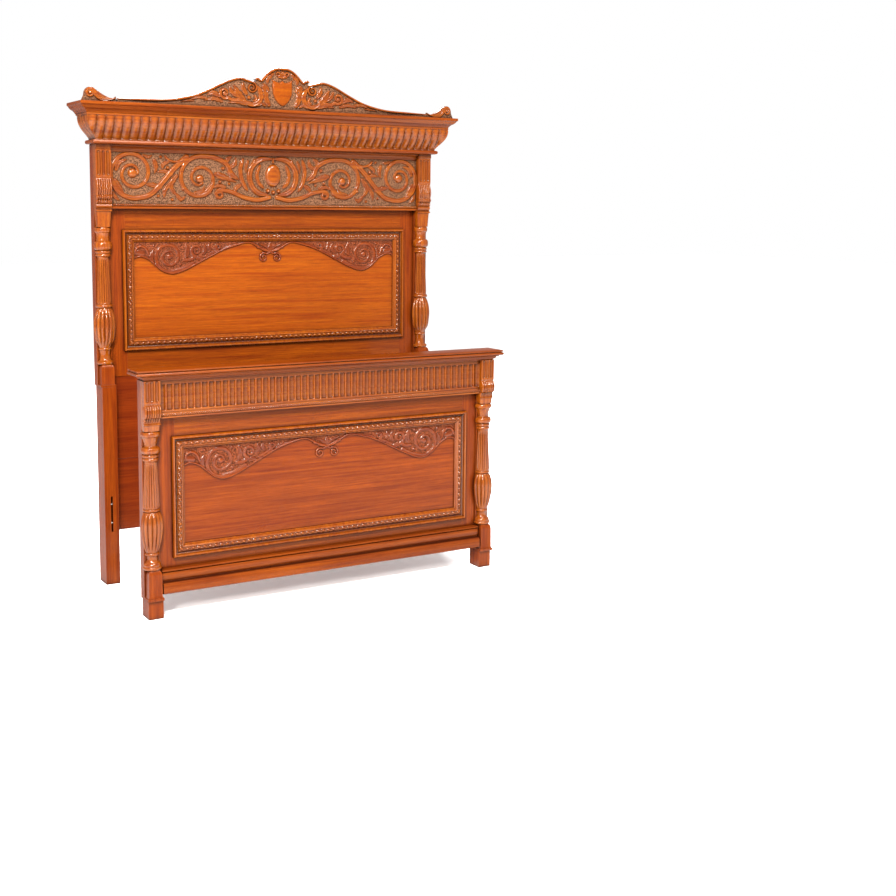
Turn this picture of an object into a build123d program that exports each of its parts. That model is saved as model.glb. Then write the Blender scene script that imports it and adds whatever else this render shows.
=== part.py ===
from build123d import *
import math
import os

os.makedirs("parts", exist_ok=True)

# High-back panel bed: a headboard and a footboard, standing parallel.
# Millimetres. +X to the right seen from the foot, +Y towards the head, +Z up.
# The origin is on the floor, under the middle of the whole bed.

# --- overall sizes -----------------------------------------------------------
bed_width = 1510.0          # across the outside faces of the posts
board_spacing = 528.0       # footboard pilaster front to headboard pilaster front
headboard_post_top = 1749.0
footboard_post_top = 885.0

# --- posts -------------------------------------------------------------------
post_width = 62.0
leg_width = 57.0            # the leg's outer face steps in, its inner face is flush with the post's
head_stile_thickness = 45.0  # plain stile behind the turned column
foot_stile_thickness = 40.0
column_stand = 43.0         # how far the pilaster and the base stand in front of the stile
head_leg_top = 800.0        # headboard leg is full depth up to here
foot_leg_top = 70.0
foot_setback = 10.0         # footboard feet stand back from the column base
eased_edge = 1.5

# --- turned columns ----------------------------------------------------------
column_block_width = 60.0
column_base_width = 57.5
bulge_ring_radius = 36.0
thin_ring_radius = 30.0
urn_radius = 25.0
shaft_top_radius = 23.0
shaft_bottom_radius = 31.0
bulb_radius = 43.0
neck_radius = 20.0
base_ring_radius = 35.0
head_base_bottom = 800.0
head_base_top = 888.0
head_bulb_bottom = 952.0
head_bulb_top = 1120.0
head_shaft_top = 1312.0
head_column_top = 1490.0
foot_base_bottom = 70.0
foot_base_top = 184.0
foot_bulb_bottom = 247.0
foot_bulb_top = 402.0
foot_shaft_top = 587.0
foot_column_top = 723.0

# --- pilasters ---------------------------------------------------------------
flute_width = 11.0
flute_pitch = 15.5
flute_count = 3
flute_end_gap = 22.0
head_flute_length = 107.0
foot_flute_length = 80.0
console_height = 40.0
console_overhang = 5.0

# --- headboard frame and panel -----------------------------------------------
frame_thickness = 25.0
head_frame_step = 15.0      # frame face behind the stile faces
head_frame_bottom = 833.0
head_frame_top = 1510.0
head_moulding_bottom = 934.0
head_moulding_top = 1418.0
moulding_side_gap = 51.0    # from the post's inner face to the panel moulding
moulding_width = 50.0
moulding_lap = 14.0         # moulding over the frame's inner edge
moulding_rise = 14.0
moulding_crown = 4.0
panel_thickness = 12.0
panel_setback = 7.0         # panel face behind the frame face
panel_groove = 9.0
groove_clearance = 0.3
tenon_length = 24.0
tenon_thickness = 9.0
tenon_shoulder = 10.0
tenon_clearance = 0.3
bead_strip_inset = 25.0     # from the moulding's outer edge
bead_strip_width = 9.0
bead_strip_rise = 5.0
moulding_ledge = 7.0        # the flat that carries the bead strip stands this far off the frame face
spandrel_rise = 5.0
centre_drop = 40.0          # scroll line below the field's top: at the middle, at its peaks, at its dips
peak_drop = 5.0
dip_drop = 125.0

# --- headboard frieze and cornice --------------------------------------------
frieze_recess = 31.0        # frieze face behind the pilaster fronts
cornice_back_thickness = 18.0
frieze_bottom = 1520.0
frieze_top = 1722.0
frieze_bead_height = 10.0
frieze_bead_rise = 8.0
frieze_ledge_height = 10.0
frieze_ledge_rise = 12.0
carving_rise = 9.0
egg_radius = 36.0
fascia_rise = 20.0
cornice_bead_height = 16.0
cornice_bead_overhang = 17.0
gadroon_height = 98.0
gadroon_foot = 6.0
gadroon_swell = 50.0
edge_moulding_height = 42.0
cornice_overhang = 81.0
cornice_front_setback = 10.0  # cornice line in front of the pilaster fronts
cornice_moulding_depth = 24.0
cornice_back_overhang = 12.0
top_board_thickness = 22.0
glue_block_size = 40.0
glue_block_count = 7

# --- crest -------------------------------------------------------------------
crest_thickness = 20.0
crest_setback = 22.0        # crest face behind the cornice's front edge
crest_half_width = 688.0
crest_end_height = 14.0
crest_shoulder_x = 176.0
crest_shoulder_height = 117.0
crest_arch_half_width = 92.0
crest_arch_height = 170.0
crest_notch_x = 130.0
crest_notch_height = 88.0
crest_rim_height = 7.0
crest_rim_overhang = 4.0
shield_width = 92.0
shield_height = 112.0
shield_lift = 14.0
shield_rise = 8.0
ear_length = 128.0
ear_height = 54.0
ear_thickness = 20.0
ear_end_gap = 16.0

# --- headboard lower boards --------------------------------------------------
lower_board_thickness = 22.0
lower_board_setback = 3.0   # board faces behind the frame face
lower_board_bottom = 204.0
lower_board_seam = 497.0
board_tongue = 10.0
tongue_thickness = 8.0
tongue_clearance = 0.3

# --- dowels ------------------------------------------------------------------
dowel_radius = 5.0
dowel_length = 50.0
dowel_clearance = 0.1
dowels_per_stile = 3
dowel_margin = 70.0

# --- footboard ---------------------------------------------------------------
foot_frame_step = 8.0
foot_frame_bottom = 105.0
foot_moulding_bottom = 213.0
foot_moulding_top = 671.0
foot_frieze_recess = 24.0
foot_frieze_bottom = 765.0
foot_frieze_bead_height = 20.0
frieze_flute_count = 51
frieze_flute_width = 20.0
frieze_flute_depth = 7.0
frieze_flute_margin = 10.0
cap_thickness = 22.0
cap_side_overhang = 34.0
cap_front_overhang = 16.0
cap_back_overhang = 10.0
cap_moulding_height = 19.0
cap_moulding_overhang = 14.0
cap_moulding_setback = 4.0
base_moulding_top = 178.0
base_moulding_step = 133.0
base_moulding_bottom = 90.0
base_moulding_front = 6.0

# --- rail hook slots ---------------------------------------------------------
slot_width = 8.0
slot_height = 144.0
slot_bottom = 215.0
head_slot_depth = 45.0
foot_slot_depth = 30.0
slot_pin_radius = 3.0
slot_pin_inset = 34.0
slot_pin_depth = 14.0
slot_pin_grip = 12.0
slot_pin_clearance = 0.05

# --- places worked out from the sizes ----------------------------------------
half_width = bed_width / 2
post_inner = half_width - post_width
post_centre = half_width - post_width / 2
leg_centre = post_inner + leg_width / 2
head_depth = column_stand + head_stile_thickness
foot_depth = column_stand + foot_stile_thickness
whole_depth = cap_front_overhang + board_spacing + head_depth + cornice_back_overhang
foot_front = -whole_depth / 2 + cap_front_overhang
head_front = foot_front + board_spacing
head_stile_front = head_front + column_stand
foot_stile_front = foot_front + column_stand
head_back = head_front + head_depth
cornice_line = head_front - cornice_front_setback
foot_back = foot_front + foot_depth
sides = (("left", -1), ("right", 1))


def block(x0, x1, y0, y1, z0, z1, ease=0.0):
    """A rectangular piece between two corners, with its edges eased if asked."""
    solid = Box(abs(x1 - x0), abs(y1 - y0), abs(z1 - z0))
    if ease > 0:
        solid = fillet(solid.edges(), ease)
    return Pos((x0 + x1) / 2, (y0 + y1) / 2, (z0 + z1) / 2) * solid


def save(name, *solids):
    """Write one node, made of one or more separate solids."""
    shape = solids[0] if len(solids) == 1 else Compound(children=[s for s in solids])
    export_step(shape, os.path.join("parts", name + ".step"))


def single(shape):
    """The one solid inside the result of a cut or a join."""
    return shape.solids()[0]


def moulding_x(profile, x0, x1):
    """Length of moulding along X from a (y, z) profile."""
    face = make_face(Polyline(*[(0, y, z) for y, z in profile], close=True))
    length = abs(x1 - x0)
    return Pos(min(x0, x1), 0, 0) * extrude(face, amount=length, dir=(1, 0, 0))


def turned(points, centre_x, centre_y, keep_front_of):
    """A turning from (radius, height) points on the column's axis, split along the stile's face."""
    outline = [(0, points[0][1])] + points + [(0, points[-1][1])]
    face = make_face(Polyline(*[(r, 0, z) for r, z in outline], close=True))
    solid = Pos(centre_x, centre_y, 0) * revolve(face, Axis.Z)
    low = points[0][1]
    high = points[-1][1]
    reach = 2 * max(r for r, z in points)
    front = block(centre_x - reach, centre_x + reach, keep_front_of - reach, keep_front_of, low, high)
    return single(solid & front)


def swell(z0, z1, r0, r_mid, r1, steps=8):
    """Points of a smooth round swelling between two heights."""
    result = []
    for i in range(steps + 1):
        t = i / steps
        straight = r0 + (r1 - r0) * t
        bulge = (r_mid - (r0 + r1) / 2) * math.sin(math.pi * t)
        result.append((straight + bulge, z0 + (z1 - z0) * t))
    return result


def column_points(base_top, bulb_bottom, bulb_top, shaft_top, block_bottom):
    """The turned part of a column, from its square base up to the square block."""
    ring = 12.0
    neck_low = base_top + 2 * ring
    urn_gap = block_bottom - shaft_top
    points = swell(base_top, neck_low, base_ring_radius - 4, base_ring_radius, neck_radius + 4)
    points += [(neck_radius, neck_low + 4), (neck_radius, bulb_bottom - ring)]
    points += swell(bulb_bottom - ring, bulb_bottom, neck_radius + 1, neck_radius + 7, neck_radius + 2, 4)
    points += swell(bulb_bottom + 1, bulb_top, neck_radius + 3, bulb_radius, shaft_bottom_radius - 4)
    points += swell(bulb_top + 1, bulb_top + ring, shaft_bottom_radius, shaft_bottom_radius + 3,
                    shaft_bottom_radius, 4)
    points += [(shaft_bottom_radius - 1, bulb_top + ring + 1), (shaft_top_radius, shaft_top)]
    points += swell(shaft_top + 1, shaft_top + ring, thin_ring_radius - 4, thin_ring_radius,
                    thin_ring_radius - 4, 4)
    bulge_low = shaft_top + 0.17 * urn_gap
    bulge_high = shaft_top + 0.42 * urn_gap
    points += swell(bulge_low, bulge_high, shaft_top_radius, bulge_ring_radius, shaft_top_radius - 2)
    urn_high = block_bottom - ring
    points += swell(bulge_high + 2, urn_high, shaft_top_radius - 3, urn_radius + 3, shaft_top_radius)
    points += swell(urn_high + 1, block_bottom, bulge_ring_radius - 6, bulge_ring_radius - 1,
                    bulge_ring_radius - 5, 4)
    return points


def column(side, stile_front, base_top, bulb_bottom, bulb_top, shaft_top, top):
    """Split turning with the tapered square block that carries the console."""
    x = side * post_centre
    block_height = 0.32 * (top - shaft_top)
    block_bottom = top - block_height
    points = column_points(base_top, bulb_bottom, bulb_top, shaft_top, block_bottom)
    turning = turned(points, x, stile_front, stile_front)
    half = column_block_width / 2
    low_half = half - 3
    block_depth = column_stand - 3
    low = [(x - low_half, stile_front, block_bottom), (x + low_half, stile_front, block_bottom),
           (x + low_half, stile_front - block_depth + 5, block_bottom),
           (x - low_half, stile_front - block_depth + 5, block_bottom)]
    high = [(x - half, stile_front, top), (x + half, stile_front, top),
            (x + half, stile_front - block_depth, top), (x - half, stile_front - block_depth, top)]
    taper = loft([make_face(Polyline(*low, close=True)), make_face(Polyline(*high, close=True))])
    return single(turning + taper)


def pilaster(side, front, bottom, top, flute_length):
    """Flat pilaster with sunk flutes above and a console swelling forward below."""
    x = side * post_centre
    half = post_width / 2
    body = block(x - half, x + half, front, front + column_stand, bottom, top)
    flute_top = top - flute_end_gap
    for i in range(flute_count):
        fx = x + (i - (flute_count - 1) / 2) * flute_pitch
        cutter = Cylinder(flute_width / 2, flute_length - flute_width)
        body -= Pos(fx, front, flute_top - flute_length / 2) * cutter
        body -= Pos(fx, front, flute_top - flute_width / 2) * Sphere(flute_width / 2)
        body -= Pos(fx, front, flute_top - flute_length + flute_width / 2) * Sphere(flute_width / 2)
    console = Pos(x, front + column_stand / 2, bottom + console_height / 2) * Rot(0, 90, 0) * \
        Cylinder(column_stand / 2 + console_overhang, post_width)
    keep = block(x - half, x + half, front - console_overhang, front + column_stand, bottom, top)
    return single(body + (console & keep))


def leg_slot(side, face_y, into, slot_depth):
    """The slot that takes a side rail's hooks, sunk into a leg from one face."""
    x = side * leg_centre
    half = slot_width / 2
    return block(x - half, x + half, face_y - into, face_y + into * slot_depth, slot_bottom,
                 slot_bottom + slot_height)


def slot_pins(side, face_y, into, extra):
    """Steel pins across a slot, for the hooks to catch on, or the holes for them with extra clearance."""
    pins = []
    for z in (slot_bottom + slot_pin_inset, slot_bottom + slot_height - slot_pin_inset):
        pin = Cylinder(slot_pin_radius + extra, slot_width + 2 * slot_pin_grip + 2 * extra)
        pins.append(Pos(side * leg_centre, face_y + into * slot_pin_depth, z) * Rot(0, 90, 0) * pin)
    return pins


def dowels(side, y, bottom, top, extra):
    """Dowels between a frame stile and its post, or the holes for them with extra clearance."""
    pegs = []
    step = (top - bottom - 2 * dowel_margin) / (dowels_per_stile - 1)
    for i in range(dowels_per_stile):
        peg = Cylinder(dowel_radius + extra, dowel_length + 2 * extra)
        pegs.append(Pos(side * post_inner, y, bottom + dowel_margin + i * step) * Rot(0, 90, 0) * peg)
    return pegs


def frame_member_cut(x0, x1, y_panel, z0, z1):
    """The groove that holds a panel, as one block to take out of a frame member."""
    return block(x0, x1, y_panel - groove_clearance, y_panel + panel_thickness + groove_clearance, z0, z1)


def framed_panel(prefix, face_y, bottom, top, mould_bottom, mould_top):
    """Rails, stiles, panel, panel moulding and bead strips of one board."""
    mould_half = post_inner - moulding_side_gap
    inner_half = mould_half - moulding_lap
    opening_low = mould_bottom + moulding_lap
    opening_high = mould_top - moulding_lap
    back = face_y + frame_thickness
    panel_face = face_y + panel_setback
    panel_reach = panel_groove - 1.0
    tenon_y0 = back - tenon_shoulder / 2 - tenon_thickness
    tenon_y1 = back - tenon_shoulder / 2
    groove = frame_member_cut(-inner_half - panel_groove, inner_half + panel_groove, panel_face,
                              opening_low - panel_groove, opening_high + panel_groove)
    for name, z0, z1 in (("top", opening_high, top), ("bottom", bottom, opening_low)):
        rail = block(-inner_half, inner_half, face_y, back, z0, z1)
        tenon = block(-inner_half - tenon_length, inner_half + tenon_length, tenon_y0, tenon_y1,
                      z0 + tenon_shoulder + panel_groove, z1 - tenon_shoulder - panel_groove)
        save(prefix + "_" + name + "_rail", single(rail + tenon - groove))
    for name, side in sides:
        stile = block(side * inner_half, side * post_inner, face_y, back, bottom, top)
        for z0, z1 in ((opening_high, top), (bottom, opening_low)):
            mortise = block(side * (inner_half - 1), side * (inner_half + tenon_length + tenon_clearance),
                            tenon_y0 - tenon_clearance, tenon_y1 + tenon_clearance,
                            z0 + tenon_shoulder + panel_groove - tenon_clearance,
                            z1 - tenon_shoulder - panel_groove + tenon_clearance)
            stile -= mortise
        for hole in dowels(side, (face_y + back) / 2, bottom, top, dowel_clearance):
            stile -= hole
        save(prefix + "_stile_" + name, single(stile - groove))
    save(prefix + "_panel", block(-inner_half - panel_reach, inner_half + panel_reach, panel_face,
                                  panel_face + panel_thickness, opening_low - panel_reach,
                                  opening_high + panel_reach))
    save(prefix + "_panel_moulding", *mitred_frame(mould_half, mould_bottom, mould_top, face_y, panel_face,
                                                   moulding_width))
    bead_half = mould_half - bead_strip_inset
    save(prefix + "_panel_beading", *bead_frame(bead_half, mould_bottom + bead_strip_inset,
                                                mould_top - bead_strip_inset, face_y - moulding_ledge))


def mitred_frame(half, low, high, face_y, panel_face, width):
    """Four lengths of panel moulding, mitred at the corners, rebated over the frame's inner edge."""
    ledge_out = bead_strip_inset + bead_strip_width
    profile = [(0, 0), (0, -moulding_rise), (width * 0.1, -moulding_rise - moulding_crown),
               (width * 0.24, -moulding_rise - moulding_crown + 1),
               (width * 0.38, -moulding_ledge - 2), (bead_strip_inset - 1, -moulding_ledge),
               (ledge_out + 1, -moulding_ledge), (ledge_out + 2, -moulding_ledge - 2),
               (width * 0.82, -moulding_ledge - 2), (width, 0), (width, panel_setback),
               (moulding_lap, panel_setback), (moulding_lap, 0)]
    centre = (low + high) / 2
    half_height = (high - low) / 2
    lengths = []
    for turn, reach, run in ((0, half_height, half), (180, half_height, half), (90, half, half_height),
                             (270, half, half_height)):
        face = make_face(Polyline(*[(-run, y, reach - d) for d, y in profile], close=True))
        bar = extrude(face, amount=2 * run, dir=(1, 0, 0))
        wedge = make_face(Polyline((0, -width, 0), (-2 * run, -width, 2 * run), (2 * run, -width, 2 * run),
                                   close=True))
        keep = Pos(0, 0, reach - run) * extrude(wedge, amount=2 * width, dir=(0, 1, 0))
        lengths.append(Pos(0, face_y, centre) * Rot(0, turn, 0) * single(bar & keep))
    return lengths


def bead_frame(half, low, high, seat):
    """Four narrow strips of beading on the moulding's flat, butted at the corners."""
    y0 = seat - bead_strip_rise
    w = bead_strip_width
    return [block(-half, half, y0, seat, high - w, high),
            block(-half, half, y0, seat, low, low + w),
            block(-half, -half + w, y0, seat, low + w, high - w),
            block(half - w, half, y0, seat, low + w, high - w)]


def spandrel(face_y, half, high, line, rise):
    """The raised, scroll-edged ground above a curved line, as one flat piece."""
    left = [(-x, z) for x, z in reversed(line)]
    edge = Spline(*[(x, 0, z) for x, z in left]) + Spline(*[(x, 0, z) for x, z in line])
    outer = Polyline((half, 0, line[-1][1]), (half, 0, high), (-half, 0, high), (-half, 0, line[-1][1]))
    face = make_face(edge + outer)
    return Pos(0, face_y, 0) * extrude(face, amount=rise, dir=(0, -1, 0))


def moulding_round(profile, back_y):
    """Front length and two returns of a cornice moulding, mitred, from a (projection, height) profile."""
    far = cornice_overhang + 20
    reach = cornice_moulding_depth
    low = min(z for p, z in profile)
    height = max(z for p, z in profile) - low
    front_face = make_face(Polyline(*[(-half_width - far, cornice_line - p, z) for p, z in profile],
                                    close=True))
    front = extrude(front_face, amount=2 * (half_width + far), dir=(1, 0, 0))
    keep = make_face(Polyline((-half_width + reach, cornice_line + reach, low),
                              (half_width - reach, cornice_line + reach, low),
                              (half_width + far, cornice_line - far, low),
                              (-half_width - far, cornice_line - far, low), close=True))
    pieces = [single(front & extrude(keep, amount=height, dir=(0, 0, 1)))]
    for name, side in sides:
        face = make_face(Polyline(*[(side * (half_width + p), cornice_line - far, z) for p, z in profile],
                                  close=True))
        bar = extrude(face, amount=back_y - cornice_line + far, dir=(0, 1, 0))
        keep = make_face(Polyline((side * (half_width - reach), cornice_line + reach, low),
                                  (side * (half_width + far), cornice_line - far, low),
                                  (side * (half_width + far), back_y, low),
                                  (side * (half_width - reach), back_y, low), close=True))
        pieces.append(single(bar & extrude(keep, amount=height, dir=(0, 0, 1))))
    return pieces


def post(side, stile_front, back, top, leg_top, leg_front, slot_face, into, slot_depth):
    """Full-height stile with a thicker leg at its lower end, slotted for the side rail."""
    x = side * post_centre
    stile = block(x - post_width / 2, x + post_width / 2, stile_front, back, leg_top, top, eased_edge)
    x = side * leg_centre
    leg = block(x - leg_width / 2, x + leg_width / 2, leg_front, back, 0, leg_top, eased_edge)
    lap = block(x - leg_width / 2 + eased_edge, x + leg_width / 2 - eased_edge, stile_front + eased_edge,
                back - eased_edge, leg_top - 10, leg_top + 10)
    solid = stile + leg + lap - leg_slot(side, slot_face, into, slot_depth)
    for hole in slot_pins(side, slot_face, into, slot_pin_clearance):
        solid -= hole
    return solid


def column_base(side, front, stile_front, low, high):
    """The square block under a column."""
    x = side * (post_inner + column_base_width / 2)
    half = column_base_width / 2
    return block(x - half, x + half, front, stile_front, low, high, eased_edge)


# --- headboard: posts, columns and pilasters ----------------------------------
head_frame_face = head_stile_front + head_frame_step
head_frame_middle = head_frame_face + frame_thickness / 2
board_face = head_frame_face + lower_board_setback
tongue_y0 = board_face + (lower_board_thickness - tongue_thickness) / 2
tongue_y1 = tongue_y0 + tongue_thickness
for side_name, side in sides:
    leg = post(side, head_stile_front, head_back, headboard_post_top, head_leg_top, head_front, head_front, 1,
               head_slot_depth)
    leg -= block(side * (post_inner - 1), side * (post_inner + board_tongue + tongue_clearance),
                 tongue_y0 - tongue_clearance, tongue_y1 + tongue_clearance,
                 lower_board_bottom - tongue_clearance, head_frame_bottom)
    for hole in dowels(side, head_frame_middle, head_frame_bottom, head_frame_top, dowel_clearance):
        leg -= hole
    save("headboard_post_" + side_name, single(leg))
    save("headboard_column_base_" + side_name,
         column_base(side, head_front, head_stile_front, head_base_bottom, head_base_top))
    save("headboard_column_" + side_name,
         column(side, head_stile_front, head_base_top, head_bulb_bottom, head_bulb_top, head_shaft_top,
                head_column_top))
    save("headboard_pilaster_" + side_name,
         pilaster(side, head_front, head_column_top, headboard_post_top, head_flute_length))
save("headboard_rail_pins", *[pin for side_name, side in sides for pin in slot_pins(side, head_front, 1, 0)])
save("headboard_dowels", *[peg for side_name, side in sides
                           for peg in dowels(side, head_frame_middle, head_frame_bottom, head_frame_top, 0)])

# --- headboard: frieze ---------------------------------------------------------
frieze_front = head_front + frieze_recess
frieze_back = head_frame_face
frieze_half = post_inner
save("frieze_panel", block(-frieze_half, frieze_half, frieze_front, frieze_back, frieze_bottom, frieze_top))
strip_top = frieze_bottom
strip_bottom = strip_top - frieze_bead_height
ledge_bottom = strip_bottom - frieze_ledge_height
save("frieze_bead_strip", block(-frieze_half, frieze_half, frieze_front - frieze_bead_rise, frieze_back,
                                strip_bottom, strip_top))
save("frieze_ledge", block(-frieze_half, frieze_half, frieze_front - frieze_ledge_rise, frieze_back,
                           ledge_bottom, strip_bottom))


def ring(x, z, outer, width, rise):
    """A flat carved ring on the frieze, standing for one scroll."""
    shape = Cylinder(outer, rise) - Cylinder(outer - width, rise)
    return Pos(x, frieze_front - rise / 2, z) * Rot(90, 0, 0) * shape


frieze_middle = (frieze_bottom + frieze_top) / 2
carving = []
scroll_pitch = frieze_half / 5
scroll_radius = (frieze_top - frieze_bottom) * 0.36
for place in (-4.2, -2.35, 2.35, 4.2):
    carving.append(ring(place * scroll_pitch, frieze_middle, scroll_radius, 20, carving_rise))
carving.append(ring(0, frieze_middle, scroll_radius * 1.25, 16, carving_rise))
egg = Pos(0, frieze_front, frieze_middle) * Sphere(egg_radius)
egg_room = block(-egg_radius, egg_radius, frieze_front - 2 * carving_rise, frieze_front,
                 frieze_middle - egg_radius, frieze_middle + egg_radius)
carving.append(single(egg & egg_room))
save("frieze_carving", *carving)

# --- headboard: cornice --------------------------------------------------------
save("cornice_fascia", block(-frieze_half, frieze_half, frieze_front - fascia_rise, frieze_back,
                             frieze_top, headboard_post_top))
cornice_back = head_back + cornice_back_overhang
bead_low = headboard_post_top
bead_high = bead_low + cornice_bead_height
bead_mid = (bead_low + bead_high) / 2
inner = -cornice_moulding_depth
bead_root = cornice_bead_overhang - cornice_bead_height / 2
bead_profile = [(inner, bead_low), (bead_root, bead_low), (cornice_bead_overhang, bead_mid - 3),
                (cornice_bead_overhang, bead_mid + 3), (bead_root, bead_high), (inner, bead_high)]
save("cornice_bead", *moulding_round(bead_profile, head_back))
gadroon_high = bead_high + gadroon_height
gadroon_profile = [(inner, bead_high), (gadroon_foot, bead_high)]
for t, p in ((0.16, 0.2), (0.32, 0.48), (0.48, 0.76), (0.64, 0.94), (0.8, 1.0), (1.0, 0.98)):
    out = gadroon_foot + p * (gadroon_swell - gadroon_foot)
    gadroon_profile.append((out, bead_high + t * gadroon_height))
gadroon_profile.append((inner, gadroon_high))
save("cornice_gadroon_moulding", *moulding_round(gadroon_profile, head_back))
edge_high = gadroon_high + edge_moulding_height
edge_root = gadroon_swell + 4
edge_profile = [(inner, gadroon_high), (edge_root, gadroon_high), (edge_root, gadroon_high + 6),
                (edge_root + 6, gadroon_high + 14), (cornice_overhang - 8, gadroon_high + 25),
                (cornice_overhang, gadroon_high + 30), (cornice_overhang, edge_high - 4),
                (cornice_overhang - 4, edge_high), (inner, edge_high)]
save("cornice_edge_moulding", *moulding_round(edge_profile, cornice_back))
cornice_inner_x = half_width - cornice_moulding_depth
cornice_inner_y = cornice_line + cornice_moulding_depth
save("cornice_bottom_board", block(-cornice_inner_x, cornice_inner_x, cornice_inner_y, head_back, bead_low,
                                   bead_high, eased_edge))
save("cornice_back_board", block(-cornice_inner_x, cornice_inner_x, head_back - cornice_back_thickness,
                                 head_back, bead_high, edge_high - top_board_thickness))
save("cornice_top_board", block(-cornice_inner_x, cornice_inner_x, cornice_inner_y, cornice_back,
                                edge_high - top_board_thickness, edge_high))
glue_blocks = []
top_board_low = edge_high - top_board_thickness
for i in range(glue_block_count):
    x = -cornice_inner_x + (i + 0.5) * 2 * cornice_inner_x / glue_block_count
    for z in (bead_high, top_board_low - glue_block_size):
        glue_blocks.append(block(x - glue_block_size / 2, x + glue_block_size / 2, cornice_inner_y,
                                 cornice_inner_y + glue_block_size, z, z + glue_block_size))
save("cornice_glue_blocks", *glue_blocks)

# --- headboard: crest ------------------------------------------------------------
crest_face = cornice_line - cornice_overhang + crest_setback
arch = [(0, crest_arch_height), (0.45 * crest_arch_half_width, 0.93 * crest_arch_height),
        (0.75 * crest_arch_half_width, 0.8 * crest_arch_height),
        (crest_arch_half_width, 0.66 * crest_arch_height)]
wing_run = crest_half_width - crest_shoulder_x
wing = [(crest_notch_x, crest_notch_height),
        (0.5 * (crest_notch_x + crest_shoulder_x), 0.96 * crest_shoulder_height),
        (crest_shoulder_x, crest_shoulder_height)]
for t, share in ((0.135, 0.87), (0.27, 0.58), (0.4, 0.33), (0.6, 0.17)):
    wing.append((crest_shoulder_x + t * wing_run, share * crest_shoulder_height))
wing.append((crest_half_width, crest_end_height))


def crest_edge(points, lift):
    """One run of the crest's top edge, at its place on the cornice, raised by lift."""
    return Spline(*[(x, crest_face, edge_high + z + lift) for x, z in points])


def mirrored(points):
    """The same run on the other side of the middle."""
    return [(-x, z) for x, z in reversed(points)]


def band(points):
    """Rim moulding along one run of the top edge: a band of even height, proud of the board."""
    low = crest_edge(points, -crest_rim_height)
    high = crest_edge(points, 0)
    first_x, first_z = points[0]
    last_x, last_z = points[-1]
    ends = Line((first_x, crest_face, edge_high + first_z - crest_rim_height),
                (first_x, crest_face, edge_high + first_z)) + \
        Line((last_x, crest_face, edge_high + last_z - crest_rim_height),
             (last_x, crest_face, edge_high + last_z))
    face = make_face(low + high + ends)
    return Pos(0, -crest_rim_overhang, 0) * extrude(face, amount=crest_thickness + 2 * crest_rim_overhang,
                                                    dir=(0, 1, 0))


whole_arch = mirrored(arch)[:-1] + arch
left_wing = mirrored(wing)
joins = []
for side in (-1, 1):
    joins.append(Line((side * crest_arch_half_width, crest_face, edge_high + arch[-1][1] - crest_rim_height),
                      (side * crest_notch_x, crest_face, edge_high + crest_notch_height - crest_rim_height)))
    joins.append(Line((side * crest_half_width, crest_face, edge_high + crest_end_height - crest_rim_height),
                      (side * crest_half_width, crest_face, edge_high)))
base_line = Line((-crest_half_width, crest_face, edge_high), (crest_half_width, crest_face, edge_high))
outline = crest_edge(whole_arch, -crest_rim_height) + crest_edge(wing, -crest_rim_height) + \
    crest_edge(left_wing, -crest_rim_height) + joins[0] + joins[1] + joins[2] + joins[3] + base_line
save("crest_board", extrude(make_face(outline), amount=crest_thickness, dir=(0, 1, 0)))
save("crest_rim", band(whole_arch), band(wing), band(left_wing))
shield_low = edge_high + shield_lift
shield = make_face(Spline((-shield_width / 2, crest_face, shield_low + 0.8 * shield_height),
                          (-0.42 * shield_width, crest_face, shield_low + 0.35 * shield_height),
                          (0, crest_face, shield_low),
                          (0.42 * shield_width, crest_face, shield_low + 0.35 * shield_height),
                          (shield_width / 2, crest_face, shield_low + 0.8 * shield_height)) +
                   Polyline((-shield_width / 2, crest_face, shield_low + 0.8 * shield_height),
                            (0, crest_face, shield_low + shield_height),
                            (shield_width / 2, crest_face, shield_low + 0.8 * shield_height)))
save("crest_shield", extrude(shield, amount=shield_rise, dir=(0, -1, 0)))


def leaf(x, z, length, height, turn):
    """A plain pointed leaf shape lying on the crest board's face."""
    half = length / 2
    upper = ThreePointArc((-half, 0, 0), (0, 0, height / 2), (half, 0, 0))
    lower = ThreePointArc((-half, 0, 0), (0, 0, -height / 2), (half, 0, 0))
    shape = extrude(make_face(upper + lower), amount=shield_rise, dir=(0, -1, 0))
    return Pos(x, crest_face, z) * Rot(0, turn, 0) * shape


leaves = []
leaf_spots = ((0.62, 0.3, 60, 26, -60), (1.05, 0.55, 70, 34, -35), (1.5, 0.42, 62, 28, 10),
              (1.95, 0.3, 60, 20, 25))
for name, side in sides:
    for along, up, length, height, turn in leaf_spots:
        leaves.append(leaf(side * along * crest_shoulder_x, edge_high + up * crest_shoulder_height, length,
                           height, side * turn))
save("crest_leaf_carving", *leaves)
ears = []
for name, side in sides:
    tip = side * (half_width + cornice_overhang - ear_end_gap)
    root = tip - side * ear_length
    back_of_ear = [(tip, 0), (tip + side * 2, 0.5), (tip - side * 0.22 * ear_length, 1),
                   (tip - side * 0.55 * ear_length, 0.45), (tip - side * 0.8 * ear_length, 0.22), (root, 0.3)]
    curl = Spline(*[(x, crest_face, edge_high + share * ear_height) for x, share in back_of_ear])
    seat = Polyline((root, crest_face, edge_high + 0.3 * ear_height), (root, crest_face, edge_high),
                    (tip, crest_face, edge_high))
    ear = make_face(curl + seat)
    ears.append(extrude(ear, amount=ear_thickness, dir=(0, 1, 0)))
save("crest_corner_scrolls", *ears)

# --- headboard: frame, panel and lower boards --------------------------------------
framed_panel("headboard", head_frame_face, head_frame_bottom, head_frame_top, head_moulding_bottom,
             head_moulding_top)
spandrel_half = post_inner - moulding_side_gap - moulding_width
head_field_top = head_moulding_top - moulding_width


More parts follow.
